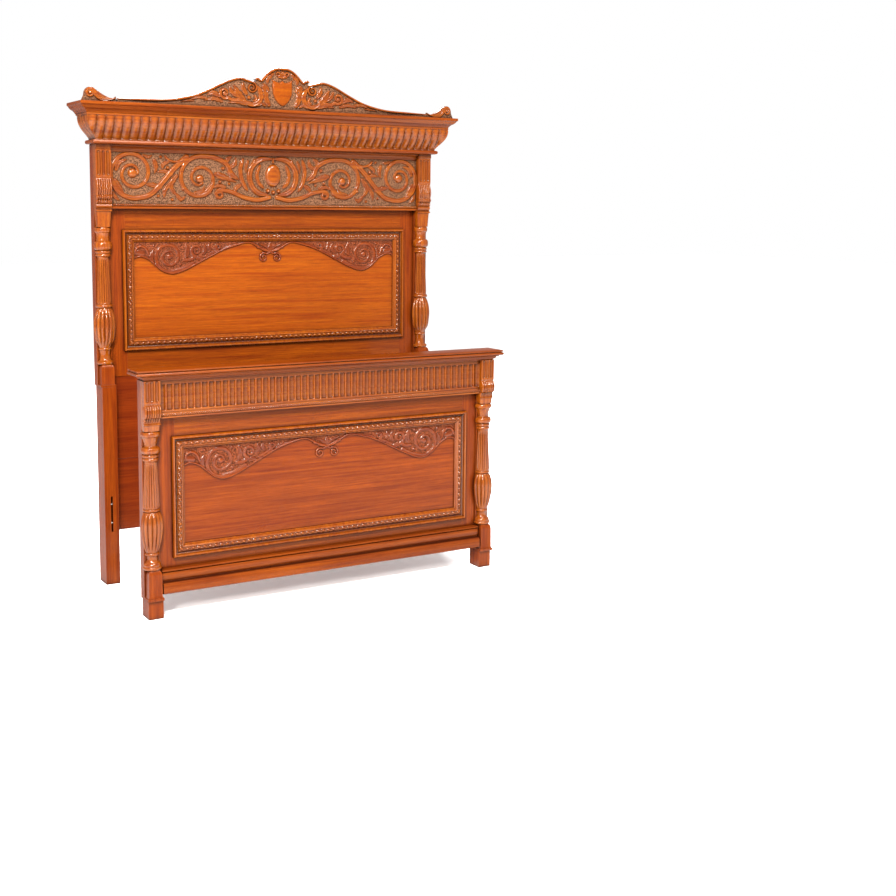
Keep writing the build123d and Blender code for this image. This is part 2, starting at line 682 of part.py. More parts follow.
def scroll_line(top):
    """The curved lower edge of the spandrel carving, from the middle to the side."""
    half = spandrel_half
    return [(0, top - centre_drop), (0.06 * half, top - 0.6 * centre_drop), (0.17 * half, top - peak_drop),
            (0.37 * half, top - 0.35 * dip_drop), (0.55 * half, top - 0.75 * dip_drop),
            (0.74 * half, top - dip_drop), (0.85 * half, top - 0.75 * dip_drop),
            (0.93 * half, top - 0.45 * dip_drop), (half, top - 0.5 * dip_drop)]


save("headboard_panel_carving", spandrel(head_frame_face + panel_setback, spandrel_half, head_field_top,
                                         scroll_line(head_field_top), spandrel_rise))
boards = (("lower", lower_board_bottom, lower_board_seam), ("upper", lower_board_seam, head_frame_bottom))
for name, z0, z1 in boards:
    board = block(-post_inner, post_inner, board_face, board_face + lower_board_thickness, z0, z1, eased_edge)
    tongues = block(-post_inner - board_tongue, post_inner + board_tongue, tongue_y0, tongue_y1,
                    z0 + tongue_clearance, z1 - tongue_clearance)
    if name == "lower":
        tongues += block(-post_inner, post_inner, tongue_y0, tongue_y1, z1 - board_tongue, z1 + board_tongue)
        save("headboard_lower_board", single(board + tongues))
    else:
        seam_groove = block(-bed_width, bed_width, tongue_y0 - tongue_clearance, tongue_y1 + tongue_clearance,
                            z0 - 1, z0 + board_tongue + tongue_clearance)
        save("headboard_upper_board", single(board + tongues - seam_groove))

# --- footboard ---------------------------------------------------------------------
foot_frame_face = foot_stile_front + foot_frame_step
foot_frame_middle = foot_frame_face + frame_thickness / 2
foot_frame_top = footboard_post_top
for side_name, side in sides:
    leg = post(side, foot_stile_front, foot_back, footboard_post_top, foot_leg_top, foot_front + foot_setback,
               foot_back, -1, foot_slot_depth)
    for hole in dowels(side, foot_frame_middle, foot_frame_bottom, foot_frame_top, dowel_clearance):
        leg -= hole
    save("footboard_post_" + side_name, single(leg))
    save("footboard_column_base_" + side_name,
         column_base(side, foot_front, foot_stile_front, foot_base_bottom, foot_base_top))
    save("footboard_column_" + side_name,
         column(side, foot_stile_front, foot_base_top, foot_bulb_bottom, foot_bulb_top, foot_shaft_top,
                foot_column_top))
    save("footboard_pilaster_" + side_name,
         pilaster(side, foot_front, foot_column_top, footboard_post_top, foot_flute_length))
save("footboard_rail_pins", *[pin for side_name, side in sides for pin in slot_pins(side, foot_back, -1, 0)])
save("footboard_dowels", *[peg for side_name, side in sides
                           for peg in dowels(side, foot_frame_middle, foot_frame_bottom, foot_frame_top, 0)])
framed_panel("footboard", foot_frame_face, foot_frame_bottom, foot_frame_top, foot_moulding_bottom,
             foot_moulding_top)
foot_field_top = foot_moulding_top - moulding_width
save("footboard_panel_carving", spandrel(foot_frame_face + panel_setback, spandrel_half, foot_field_top,
                                         scroll_line(foot_field_top), spandrel_rise))
foot_frieze_face = foot_front + foot_frieze_recess
fluted = block(-post_inner, post_inner, foot_frieze_face, foot_frame_face,
               foot_frieze_bottom, footboard_post_top)
flute_step = 2 * post_inner / frieze_flute_count
flute_low = foot_frieze_bottom + frieze_flute_margin
flute_high = footboard_post_top - frieze_flute_margin
flute_span = flute_high - flute_low - frieze_flute_width
scoop_depth = frieze_flute_width / 2 - frieze_flute_depth
scoops = []
for i in range(frieze_flute_count):
    x = -post_inner + (i + 0.5) * flute_step
    scoops.append(Pos(x, foot_frieze_face - scoop_depth, (flute_low + flute_high) / 2) *
                  Cylinder(frieze_flute_width / 2, flute_span))
save("footboard_frieze", single(fluted - scoops))
foot_strip_top = foot_frieze_bottom
foot_strip_bottom = foot_strip_top - foot_frieze_bead_height
save("footboard_frieze_bead_strip",
     block(-post_inner, post_inner, foot_frieze_face - frieze_bead_rise, foot_frame_face,
           foot_strip_bottom, foot_strip_top))
cap_front = foot_front - cap_front_overhang
cap_back = foot_back + cap_back_overhang
cap_low = footboard_post_top + cap_moulding_height
cap_high = cap_low + cap_thickness
cap_half = half_width + cap_side_overhang
cap = Box(2 * cap_half, cap_back - cap_front, cap_thickness)
cap = fillet(cap.edges(), cap_thickness * 0.32)
save("footboard_cap", Pos(0, (cap_front + cap_back) / 2, (cap_low + cap_high) / 2) * cap)
save("footboard_cap_moulding",
     block(-half_width - cap_moulding_overhang, half_width + cap_moulding_overhang,
           foot_front - cap_moulding_overhang + cap_moulding_setback, foot_back, footboard_post_top, cap_low,
           cap_moulding_height * 0.3))
base_front = foot_front + base_moulding_front
base_profile = [(foot_frame_face, base_moulding_bottom), (base_front, base_moulding_bottom),
                (base_front, base_moulding_step), (base_front + 8, base_moulding_step + 4),
                (base_front + 14, base_moulding_step + 22), (base_front + 26, base_moulding_top - 12),
                (base_front + 34, base_moulding_top), (foot_frame_face, base_moulding_top)]
save("footboard_base_moulding", moulding_x(base_profile, -post_inner, post_inner))
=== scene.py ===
import math

import bmesh
import bpy
import numpy as np
from mathutils import Matrix, Vector


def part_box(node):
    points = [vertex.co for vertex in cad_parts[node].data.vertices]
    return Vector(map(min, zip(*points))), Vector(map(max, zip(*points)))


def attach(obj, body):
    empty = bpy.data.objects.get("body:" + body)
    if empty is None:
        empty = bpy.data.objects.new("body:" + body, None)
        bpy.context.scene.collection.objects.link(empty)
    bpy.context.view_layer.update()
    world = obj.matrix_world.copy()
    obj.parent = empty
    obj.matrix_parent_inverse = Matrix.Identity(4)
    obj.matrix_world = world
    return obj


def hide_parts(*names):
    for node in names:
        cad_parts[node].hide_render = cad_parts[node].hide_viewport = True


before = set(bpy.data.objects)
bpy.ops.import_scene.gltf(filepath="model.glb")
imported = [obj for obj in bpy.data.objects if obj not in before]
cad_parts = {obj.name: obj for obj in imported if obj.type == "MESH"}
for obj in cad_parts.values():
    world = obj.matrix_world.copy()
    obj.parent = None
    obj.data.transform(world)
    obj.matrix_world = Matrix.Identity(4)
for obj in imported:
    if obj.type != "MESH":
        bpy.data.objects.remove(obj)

bl_info = {
    "name": "Carved High-Back Bed",
    "version": (1, 0, 0),
    "blender": (4, 5, 0),
    "location": "3D View > Sidebar > Bed",
    "description": "Builds the turnings, mouldings, carving and varnish of a high-back bed round its frame",
    "category": "Object",
}

for startup_name in ("Cube", "Light", "Camera"):
    if startup_name in bpy.data.objects:
        bpy.data.objects.remove(bpy.data.objects[startup_name])
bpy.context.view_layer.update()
SIDES = (("left", -1), ("right", 1))
BOARDS = ("headboard", "footboard")
LAP = 0.0005             # how far a carved face is let into the board behind it
WELD = 0.00001
RIM_HALF = 0.0052        # half width of the rounded rims of the crest and the spandrels


# --- settings ---------------------------------------------------------------------------

class BedSizes(bpy.types.PropertyGroup):
    gadroon_count: bpy.props.IntProperty(
        name="Gadroons", description="Lobes along the front of the cornice", default=42, min=8)
    reed_count: bpy.props.IntProperty(
        name="Reeds", description="Reeds round the whole of a column shaft", default=18, min=6)
    lobe_count: bpy.props.IntProperty(
        name="Bulb lobes", description="Lobes round the whole of a column's bulb", default=14, min=4)
    flute_count: bpy.props.IntProperty(
        name="Frieze flutes", description="Upright channels along the footboard's frieze", default=51, min=8)
    egg_pitch: bpy.props.FloatProperty(
        name="Egg pitch", description="Spacing of the eggs in the panel mouldings",
        default=0.0225, min=0.005, unit="LENGTH")
    rope_pitch: bpy.props.FloatProperty(
        name="Rope pitch", description="Spacing of the twists in the frieze's bead strip",
        default=0.0085, min=0.003, unit="LENGTH")
    carving_depth: bpy.props.FloatProperty(
        name="Carving depth", description="How far the frieze carving stands off its ground",
        default=0.010, min=0.001, max=0.02, unit="LENGTH")
    carving_pitch: bpy.props.FloatProperty(
        name="Carving detail", description="Spacing of the points of a carved surface",
        default=0.0019, min=0.001, unit="LENGTH")


class BedColours(bpy.types.PropertyGroup):
    light_wood: bpy.props.FloatVectorProperty(
        name="Light wood", description="Pale streaks of the mahogany", subtype="COLOR",
        default=(0.190, 0.0410, 0.0014), min=0.0, max=1.0)
    dark_wood: bpy.props.FloatVectorProperty(
        name="Dark wood", description="Dark streaks of the mahogany", subtype="COLOR",
        default=(0.120, 0.0178, 0.0011), min=0.0, max=1.0)
    # Colour of the open pores, and of the painted shade in hollows, grooves and the sides of the carving.
    pores_and_shade: bpy.props.FloatVectorProperty(
        name="Recesses", description="Old polish gathered in hollows", subtype="COLOR",
        default=(0.0120, 0.0017, 0.0007), min=0.0, max=1.0)
    ground: bpy.props.FloatVectorProperty(
        name="Stippled ground", description="Dull ground behind the carving", subtype="COLOR",
        default=(0.062, 0.0270, 0.0135), min=0.0, max=1.0)
    softwood: bpy.props.FloatVectorProperty(
        name="Softwood", description="Hidden boards and blocks", subtype="COLOR",
        default=(0.24, 0.135, 0.058), min=0.0, max=1.0)


# --- modelling helpers ------------------------------------------------------------------

def deselect():
    """Leave edit mode and select nothing."""
    if bpy.context.object and bpy.context.object.mode != "OBJECT":
        bpy.ops.object.mode_set(mode="OBJECT")
    bpy.ops.object.select_all(action="DESELECT")


def activate(piece):
    """Select one piece alone."""
    deselect()
    piece.select_set(True)
    bpy.context.view_layer.objects.active = piece


def points_of(mesh):
    """The mesh's vertex positions as an array with one row each."""
    flat = np.empty(len(mesh.vertices) * 3)
    mesh.vertices.foreach_get("co", flat)
    return flat.reshape(-1, 3)


def set_points(mesh, points):
    """Move the mesh's vertices to the rows of an array."""
    mesh.vertices.foreach_set("co", np.ascontiguousarray(points, dtype=np.float64).ravel())
    mesh.update()


def shade(piece, degrees):
    """Smooth shading, with edges sharper than the angle kept crisp."""
    activate(piece)
    bpy.ops.object.shade_smooth_by_angle(angle=math.radians(degrees))


def onto(axis, value):
    """Closes a carved front straight back to a plane."""
    def close(co):
        co[axis] = value
    return close


def carved_face(name, columns, rows, place, close, smooth=65):
    """A carved front, from place(u, v) -> x, y, z, ground, whose rim is carried back and filled; ground below
    0 paints shade.
    """
    deselect()
    bpy.ops.mesh.primitive_grid_add(x_subdivisions=columns, y_subdivisions=rows, size=2)
    piece = bpy.context.object
    piece.name = name
    mesh = piece.data
    flat = points_of(mesh)
    x, y, z, ground = place((flat[:, 0] + 1) / 2, (flat[:, 1] + 1) / 2)
    set_points(mesh, np.column_stack([x, y, z]))
    layer = mesh.attributes.new("ground", "FLOAT", "POINT")
    ground = np.ascontiguousarray(np.broadcast_to(ground, x.shape), dtype=np.float32)
    layer.data.foreach_set("value", ground)
    bpy.ops.object.mode_set(mode="EDIT")
    bpy.ops.mesh.select_mode(type="EDGE")
    bpy.ops.mesh.select_all(action="DESELECT")
    bpy.ops.mesh.select_non_manifold()
    bpy.ops.mesh.extrude_edges_move()
    edit = bmesh.from_edit_mesh(mesh)
    bare = edit.verts.layers.float["ground"]
    for vertex in edit.verts:
        if vertex.select:
            close(vertex.co)
            vertex[bare] = 0.0
    bmesh.update_edit_mesh(mesh)
    bpy.ops.mesh.edge_face_add()
    bpy.ops.mesh.select_all(action="SELECT")
    bpy.ops.mesh.remove_doubles(threshold=0.000002)
    bpy.ops.mesh.normals_make_consistent(inside=False)
    bpy.ops.object.mode_set(mode="OBJECT")
    shade(piece, smooth)
    return piece


def through(points, steps=5):
    """A smooth line through (a, b) points; a point given twice running is a sharp corner."""
    result = [points[0]]
    for i in range(len(points) - 1):
        p1, p2 = points[i], points[i + 1]
        if p1 == p2:
            continue
        p0 = points[i - 1] if i > 0 and points[i - 1] != p1 else None
        p3 = points[i + 2] if i + 2 < len(points) and points[i + 2] != p2 else None
        if p0 is None and p3 is None:
            result.append(p2)
            continue
        p0 = p0 or p1
        p3 = p3 or p2
        for step in range(1, steps + 1):
            t = step / steps
            blend = []
            for k in (0, 1):
                a, b, c, d = p0[k], p1[k], p2[k], p3[k]
                blend.append(0.5 * (2 * b + (c - a) * t + (2 * a - 5 * b + 4 * c - d) * t * t
                                    + (3 * b - a - 3 * c + d) * t ** 3))
            result.append(tuple(blend))
    return result


def run_of_moulding(name, section, start, end, place, mitre=(0.0, 0.0), by_height=False, dark=()):
    """A straight length with a (standing out, up) section, its ends cut by their mitre slopes.

    It is made along X, facing -Y, and then put where the place matrix says. The section points that
    are numbered in dark lie in hollows, and are coloured darker there."""
    deselect()
    bpy.ops.mesh.primitive_circle_add(vertices=len(section), fill_type="NGON")
    piece = bpy.context.object
    piece.name = name
    mesh = piece.data
    set_points(mesh, np.array([(start, -out, up) for out, up in section]))
    bpy.ops.object.mode_set(mode="EDIT")
    bpy.ops.mesh.select_all(action="SELECT")
    bpy.ops.mesh.extrude_region_move(TRANSFORM_OT_translate={"value": (end - start, 0, 0)})
    bpy.ops.mesh.select_all(action="SELECT")
    bpy.ops.mesh.normals_make_consistent(inside=False)
    bpy.ops.object.mode_set(mode="OBJECT")
    points = points_of(mesh)
    hollows = np.array([section[i] for i in dark]).reshape(-1, 2)
    gaps = np.abs(points[:, None, 1:] - hollows[None] * (-1, 1)).sum(axis=2)
    layer = mesh.attributes.new("ground", "FLOAT", "POINT")
    layer.data.foreach_set("value", np.where((gaps < WELD).any(axis=1), -1.0, 0.0).astype(np.float32))
    reach = points[:, 2] if by_height else -points[:, 1]
    at_end = points[:, 0] > (start + end) / 2
    points[:, 0] += np.where(at_end, mitre[1], -mitre[0]) * reach
    set_points(mesh, points)
    mesh.transform(place)
    shade(piece, 35)
    return piece


def join(name, pieces):
    """One piece made of several."""
    deselect()
    for piece in pieces:
        piece.select_set(True)
    bpy.context.view_layer.objects.active = pieces[0]
    bpy.ops.object.join()
    pieces[0].name = name
    return pieces[0]


def swept(name, path, section, y, scale=None, smooth=50):
    """A band along an (x, z) path in an upright plane; its section is (off the path, along Y)."""
    path = np.array(path)
    section = np.array(list(section) + [section[0]])
    scale = np.ones(len(path)) if scale is None else np.array(scale)
    along = np.gradient(path, axis=0)
    along /= np.linalg.norm(along, axis=1)[:, None]
    normal = np.column_stack([-along[:, 1], along[:, 0]])
    deselect()
    bpy.ops.mesh.primitive_grid_add(x_subdivisions=len(path) - 1, y_subdivisions=len(section) - 1, size=2)
    piece = bpy.context.object
    piece.name = name
    flat = points_of(piece.data)
    i = np.rint((flat[:, 0] + 1) / 2 * (len(path) - 1)).astype(int)
    j = np.rint((flat[:, 1] + 1) / 2 * (len(section) - 1)).astype(int)
    off = section[j, 0] * scale[i]
    points = np.column_stack([path[i, 0] + normal[i, 0] * off, y + section[j, 1] * scale[i],
                              path[i, 1] + normal[i, 1] * off])
    set_points(piece.data, points)
    bpy.ops.object.mode_set(mode="EDIT")
    bpy.ops.mesh.select_all(action="SELECT")
    bpy.ops.mesh.remove_doubles(threshold=WELD)
    bpy.ops.mesh.select_mode(type="EDGE")
    bpy.ops.mesh.select_all(action="DESELECT")
    bpy.ops.mesh.select_non_manifold()
    bpy.ops.mesh.fill_holes(sides=0)
    bpy.ops.mesh.select_all(action="SELECT")
    bpy.ops.mesh.normals_make_consistent(inside=False)
    bpy.ops.object.mode_set(mode="OBJECT")
    shade(piece, smooth)
    return piece


def finish_piece(piece, body, material, slot, *nodes):
    """Give a piece its material and its body, and hide the CAD nodes that it stands for. The slot is not
    used.
    """
    piece.data.materials.clear()
    piece.data.materials.append(bpy.data.materials[material])
    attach(piece, body)
    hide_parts(*nodes)
    return piece


def round_section(half_wide, half_deep, count):
    """A closed oval section."""
    turns = np.linspace(0, 2 * math.pi, count + 1)[:-1]
    return [(half_wide * math.cos(turn), half_deep * math.sin(turn)) for turn in turns]


# --- carved strokes ---------------------------------------------------------------------

def stroke(points, width, height=1.0, groove=0.0, taper=(0.35, 0.35), steps=6):
    """One carved stroke: its line, half widths, relative height and the depth of its middle groove."""
    line = np.array(through(points, steps))
    t = np.linspace(0, 1, len(line))
    swell = np.minimum(1.0, np.minimum(taper[0] + t * 4, taper[1] + (1 - t) * 4))
    return line, width * swell, height, groove


def leaf(points, width, height=0.8):
    """A carved leaf: fat in the middle, pointed at its tip, with a vein and lobed edges."""
    line = np.array(through(points, 8))
    t = np.linspace(0, 1, len(line))
    swell = np.sin(np.pi * (0.08 + 0.92 * t) ** 0.8) ** 0.8 * (1 + 0.16 * np.sin(t * 9 * math.pi))
    return line, np.maximum(width * swell, width * 0.08), height, 0.45


def scroll(centre, radius, eye, start, turns, width, lead=(), height=1.0, groove=0.35):
    """A stem that comes in along its lead and winds round a centre down to an eye."""
    t = np.linspace(0, 1, 56)
    angle = math.radians(start) + 2 * math.pi * turns * t
    r = radius + (eye - radius) * t
    wound = np.column_stack([centre[0] + r * np.cos(angle), centre[1] + r * np.sin(angle)])
    line = wound
    if lead:
        line = np.vstack([np.array(through(list(lead) + [tuple(wound[0])], 6))[:-1], wound])
    share = np.linspace(0, 1, len(line))
    return line, width * (1 - 0.55 * share), height, groove


def dome(centre, radius, height=1.0):
    """A round berry or button."""
    return np.array([centre, (centre[0] + 0.0002, centre[1])]), np.array([radius, radius]), height, 0.0


def oval(centre, wide, tall, height=1.0):
    """An upright oval boss."""
    reach = math.sqrt(tall ** 2 - wide ** 2)
    t = np.linspace(-1, 1, 9) * reach ** 2 / tall
    line = np.column_stack([np.full(9, float(centre[0])), centre[1] + t])
    return line, wide * np.sqrt(1 - (t / reach) ** 2), height, 0.0


def ground_and_side_shade(raised):
    """The ground attribute: 1 on bare ground, below 0 on the sides of the carving, where shade is painted, 0
    on its tops.
    """
    return np.where(raised < 0.03, 1.0, -0.85 * np.clip(1 - raised, 0, 1) ** 1.5)


def mirrored(strokes):
    """The strokes and their mirror images."""
    return strokes + [(line * (-1, 1), width, height, groove) for line, width, height, groove in strokes]


def relief(x, z, strokes):
    """Height of the carving at each point, from 0 on the ground to about 1 on the strokes."""
    best = np.zeros_like(x)
    for line, width, height, groove in strokes:
        reach = width.max()
        low, high = line.min(axis=0) - reach, line.max(axis=0) + reach
        near = np.nonzero((x > low[0]) & (x < high[0]) & (z > low[1]) & (z < high[1]))[0]
        if not len(near):
            continue
        spot = np.column_stack([x[near], z[near]])
        ratio = np.full(len(near), 9.0)
        for a, b, wa, wb in zip(line[:-1], line[1:], width[:-1], width[1:]):
            run = b - a
            t = np.clip(((spot - a) @ run) / max(run @ run, 1e-12), 0, 1)
            gap = np.linalg.norm(spot - a - t[:, None] * run, axis=1)
            ratio = np.minimum(ratio, gap / (wa + (wb - wa) * t))
        body = np.sqrt(np.clip(1 - ratio ** 2, 0, 1)) * height
        body -= groove * height * np.exp(-(ratio / 0.42) ** 2) * (ratio < 1)
        best[near] = np.maximum(best[near], np.where(ratio < 1, body, 0))
    return best


def stipple(x, z, depth):
    """Fine punched dots of a ground, as a height."""
    return depth * (np.sin(x * 1450 + 3 * np.sin(z * 610)) * np.sin(z * 1530 + 3 * np.sin(x * 570)))


# --- turned columns ---------------------------------------------------------------------

# (radius, height above the column's foot)
HEAD_TURNING = (
    (0.029, 0.0), (0.032, 0.001), (0.033, 0.006), (0.032, 0.011), (0.026, 0.014), (0.0225, 0.019),
    (0.02, 0.037), (0.022, 0.052), (0.023, 0.056), (0.023, 0.056), (0.025, 0.058), (0.026, 0.061),
    (0.025, 0.064), (0.023, 0.066), (0.023, 0.066), (0.027, 0.077), (0.038, 0.096), (0.043, 0.13),
    (0.0445, 0.156), (0.042, 0.185), (0.035, 0.21), (0.028, 0.223), (0.028, 0.223), (0.032, 0.226),
    (0.034, 0.231), (0.032, 0.236), (0.028, 0.238), (0.028, 0.238), (0.0285, 0.243), (0.0285, 0.262),
    (0.0255, 0.34), (0.0225, 0.412), (0.024, 0.424), (0.024, 0.424), (0.029, 0.427), (0.03, 0.431),
    (0.027, 0.436), (0.027, 0.436), (0.03, 0.44), (0.03, 0.445), (0.027, 0.449), (0.027, 0.449),
    (0.034, 0.455), (0.036, 0.467), (0.034, 0.48), (0.027, 0.486), (0.0265, 0.489), (0.0255, 0.498),
    (0.0265, 0.51), (0.028, 0.518), (0.028, 0.518), (0.031, 0.522), (0.032, 0.53), (0.031, 0.537),
    (0.027, 0.54), (0.027, 0.54), (0.0275, 0.55), (0.03, 0.59), (0.031, 0.602),
)
FOOT_TURNING = (
    (0.033, 0.0), (0.0355, 0.003), (0.0355, 0.009), (0.032, 0.013), (0.032, 0.013), (0.0325, 0.018),
    (0.0295, 0.024), (0.0245, 0.029), (0.021, 0.036), (0.0205, 0.044), (0.0225, 0.052), (0.0225, 0.052),
    (0.026, 0.054), (0.027, 0.058), (0.026, 0.062), (0.0235, 0.064), (0.0235, 0.064), (0.027, 0.072),
    (0.034, 0.094), (0.041, 0.128), (0.044, 0.162), (0.041, 0.19), (0.034, 0.21), (0.028, 0.217),
    (0.028, 0.217), (0.032, 0.22), (0.032, 0.225), (0.029, 0.228), (0.029, 0.228), (0.0315, 0.236),
    (0.0305, 0.27), (0.027, 0.34), (0.024, 0.392), (0.025, 0.403), (0.025, 0.403), (0.029, 0.407),
    (0.03, 0.412), (0.027, 0.417), (0.027, 0.417), (0.03, 0.421), (0.03, 0.427), (0.027, 0.431),
    (0.027, 0.431), (0.034, 0.435), (0.036, 0.444), (0.034, 0.453), (0.027, 0.457), (0.023, 0.46),
    (0.024, 0.47), (0.028, 0.485), (0.031, 0.493), (0.031, 0.493), (0.036, 0.498), (0.037, 0.505),
    (0.035, 0.512), (0.029, 0.515), (0.029, 0.515), (0.03, 0.525), (0.031, 0.539),
)
# heights of the lobed bulb, of the reeded shaft and of the square block, above the column's foot
HEAD_ZONES = ((0.072, 0.223), (0.240, 0.420), 0.541)
FOOT_ZONES = ((0.066, 0.217), (0.230, 0.400), 0.516)


REED_DEPTH, REED_FADE = 0.0032, 0.012
LOBE_DEPTH, LOBE_FADE = 0.0065, 0.035


def fade(z, low, high, soft):
    """1 between two heights, falling to 0 outside over a soft distance."""
    rise = np.clip((z - low) / soft, 0, 1)
    fall = np.clip((high - z) / soft, 0, 1)
    return np.sin(np.minimum(rise, fall) * math.pi / 2)


def column(name, board, turning, zones, sizes):
    """A split turning on the face of a stile."""
    low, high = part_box(name)
    middle = (low[0] + high[0]) / 2
    stile_face = high[1]
    outline = np.array(through(list(turning), 4))
    bulb, reeds, block = zones

    def place(u, v):
        row = np.rint(v * (len(outline) - 1)).astype(int)
        radius, height = outline[row, 0], outline[row, 1]
        angle = math.pi * (1 - u)
        reed = np.abs(np.sin(sizes.reed_count * angle / 2)) - 1
        lobe = np.abs(np.sin(sizes.lobe_count * angle / 2)) ** 0.8 - 1
        reeded = reed * fade(height, *reeds, REED_FADE)
        lobed = lobe * fade(height, *bulb, LOBE_FADE)
        radius = radius + REED_DEPTH * reeded
        radius = radius + LOBE_DEPTH * lobed
        square = np.where(height >= block, 0.3, 1.0)
        across = np.sign(np.cos(angle)) * np.abs(np.cos(angle)) ** square
        x = middle + radius * across
        y = stile_face - radius * np.abs(np.sin(angle)) ** square
        # The last value paints shade in the grooves of the reeds and the lobes.
        return x, y, low[2] + height, 0.35 * (reeded + lobed)

    piece = carved_face("shaped_" + name, 108, len(outline) - 1, place, onto(1, stile_face + LAP), 40)
    return finish_piece(piece, board, "turned mahogany", "mahogany", name)


# (inset, height above the foot) of the plinths' fronts and sides
HEAD_PLINTH = (
    (0.0, 0.0), (0.0, 0.007), (0.003, 0.0085), (0.0045, 0.012), (0.0045, 0.072), (0.006, 0.08),
    (0.01, 0.086), (0.013, 0.088),
)
FOOT_PLINTH = (
    (0.001, 0.0), (0.0, 0.002), (0.0, 0.01), (0.0035, 0.012), (0.005, 0.018), (0.0055, 0.094),
    (0.007, 0.104), (0.01, 0.111), (0.014, 0.114),
)
PLINTH_PROUD = 0.0042


def plinth(name, board, side, edge):
    """The shaped block under a column, flush with the side of its post."""
    low, high = (list(corner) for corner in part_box(name))
    outer = high if side > 0 else low
    outer[0] += side * PLINTH_PROUD
    block = moulded_slab("shaped_" + name, low, high, edge)
    return finish_piece(block, board, "mahogany upright", "mahogany", name)


class BED_OT_turned_columns(bpy.types.Operator):
    """Turn the four split columns with their lobed bulbs and reeded shafts, and cut their plinths"""

    bl_idname = "bed.turned_columns"
    bl_label = "Turned columns"

    def execute(self, context):
        sizes = context.scene.bed_sizes
        for side, sign in SIDES:
            column("headboard_column_" + side, "headboard", HEAD_TURNING, HEAD_ZONES, sizes)
            column("footboard_column_" + side, "footboard", FOOT_TURNING, FOOT_ZONES, sizes)
            plinth("headboard_column_base_" + side, "headboard", sign, HEAD_PLINTH)
            plinth("footboard_column_base_" + side, "footboard", sign, FOOT_PLINTH)
        return {"FINISHED"}


# --- pilasters --------------------------------------------------------------------------

# (standing out, height above the pilaster's foot)
HEAD_PILASTER = (
    (0.034, 0.0), (0.034, 0.006), (0.026, 0.007), (0.026, 0.012), (0.03, 0.014), (0.034, 0.022),
    (0.03, 0.03), (0.03, 0.03), (0.038, 0.033), (0.041, 0.039), (0.037, 0.046), (0.037, 0.046),
    (0.044, 0.05), (0.047, 0.057), (0.041, 0.065), (0.041, 0.065), (0.047, 0.085), (0.044, 0.105),
    (0.037, 0.122), (0.034, 0.13), (0.034, 0.13), (0.036, 0.133), (0.036, 0.24), (0.036, 0.24),
    (0.04, 0.242), (0.04, 0.259),
)
FOOT_PILASTER = (
    (0.033, 0.0), (0.033, 0.003), (0.028, 0.005), (0.028, 0.01), (0.031, 0.014), (0.033, 0.024),
    (0.033, 0.024), (0.044, 0.029), (0.048, 0.043), (0.047, 0.058), (0.04, 0.07), (0.034, 0.076),
    (0.034, 0.076), (0.036, 0.079), (0.036, 0.162),
)


CONSOLE_REED_DEPTH = 0.0042
CHANNEL_PLACES = (-0.018, 0.0, 0.018)
CHANNEL_RADIUS, CHANNEL_DEPTH = 0.0068, 0.0062


def pilaster(name, board, outline, reeds, flutes):
    """A fluted strip over a reeded console, on the head of a post."""
    low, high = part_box(name)
    middle = (low[0] + high[0]) / 2
    half = (high[0] - low[0]) / 2
    line = np.array(outline)
    heights = line[:, 1] + np.arange(len(line)) * 0.0000001

    def place(u, v):
        across = (2 * u - 1) * half
        height = v * (high[2] - low[2])
        out = np.interp(height, heights, line[:, 0])
        reed = np.abs(np.sin((across / half + 1) * 3.5 * math.pi)) - 1
        out = out + CONSOLE_REED_DEPTH * reed * fade(height, reeds[0], reeds[1], 0.006)
        cut = np.zeros_like(u)
        for centre in CHANNEL_PLACES:
            along = np.clip(height, flutes[0] + CHANNEL_RADIUS, flutes[1] - CHANNEL_RADIUS)
            ratio = np.hypot(across - centre, height - along) / CHANNEL_RADIUS
            cut = np.maximum(cut, np.sqrt(np.clip(1 - ratio ** 2, 0, 1)))
        out = out - CHANNEL_DEPTH * cut
        # The last value paints shade in the flutes.
        return middle + across, high[1] - out, low[2] + height, -0.3 * cut

    piece = carved_face("shaped_" + name, 62, int((high[2] - low[2]) / 0.0016), place,
                        onto(1, high[1] + LAP), 40)
    return finish_piece(piece, board, "turned mahogany", "mahogany", name)


class BED_OT_pilasters(bpy.types.Operator):
    """Carve the fluted and reeded pilasters at the heads of the posts"""

    bl_idname = "bed.pilasters"
    bl_label = "Pilasters"

    def execute(self, context):
        for side, _ in SIDES:
            pilaster("headboard_pilaster_" + side, "headboard", HEAD_PILASTER, (0.031, 0.128), (0.138, 0.234))
            pilaster("footboard_pilaster_" + side, "footboard", FOOT_PILASTER, (0.009, 0.076), (0.084, 0.161))
        return {"FINISHED"}


# --- cornice ----------------------------------------------------------------------------

CORE_HALF = 0.755
CORE_FRONT = 0.212
CORNICE_BACK = 0.310
GADROON_SPAN = 0.728      # half the length that the gadroon count divides
GADROON_DEPTH = 0.0110
MITRE_FADE = 0.014
GADROON_BOW = (
    (0.006, 1.765), (0.0065, 1.77), (0.015, 1.782), (0.028, 1.797), (0.04, 1.814), (0.0465, 1.829),
    (0.049, 1.842), (0.0495, 1.85), (0.0485, 1.856), (0.0485, 1.856), (0.05, 1.857), (0.05, 1.863),
)
BEAD_SECTION = (
    (-0.02, 0.0), (0.01, 0.0), (0.015, 0.0022), (0.017, 0.008), (0.015, 0.0138), (0.01, 0.016),
    (-0.02, 0.016),
)
EDGE_SECTION = (
    (-0.02, 0.0), (0.048, 0.0), (0.05, 0.002), (0.053, 0.007), (0.056, 0.01), (0.059, 0.013),
    (0.067, 0.017), (0.073, 0.023), (0.077, 0.029), (0.079, 0.03), (0.081, 0.031), (0.081, 0.041),
    (0.08, 0.042), (-0.02, 0.042),
)
FASCIA_SECTION = (
    (0.0, 0.0), (0.03, 0.0), (0.032, 0.003), (0.032, 0.008), (0.035, 0.014), (0.04, 0.0185), (0.046, 0.021),
    (0.047, 0.023), (0.047, 0.027), (0.0, 0.027),
)


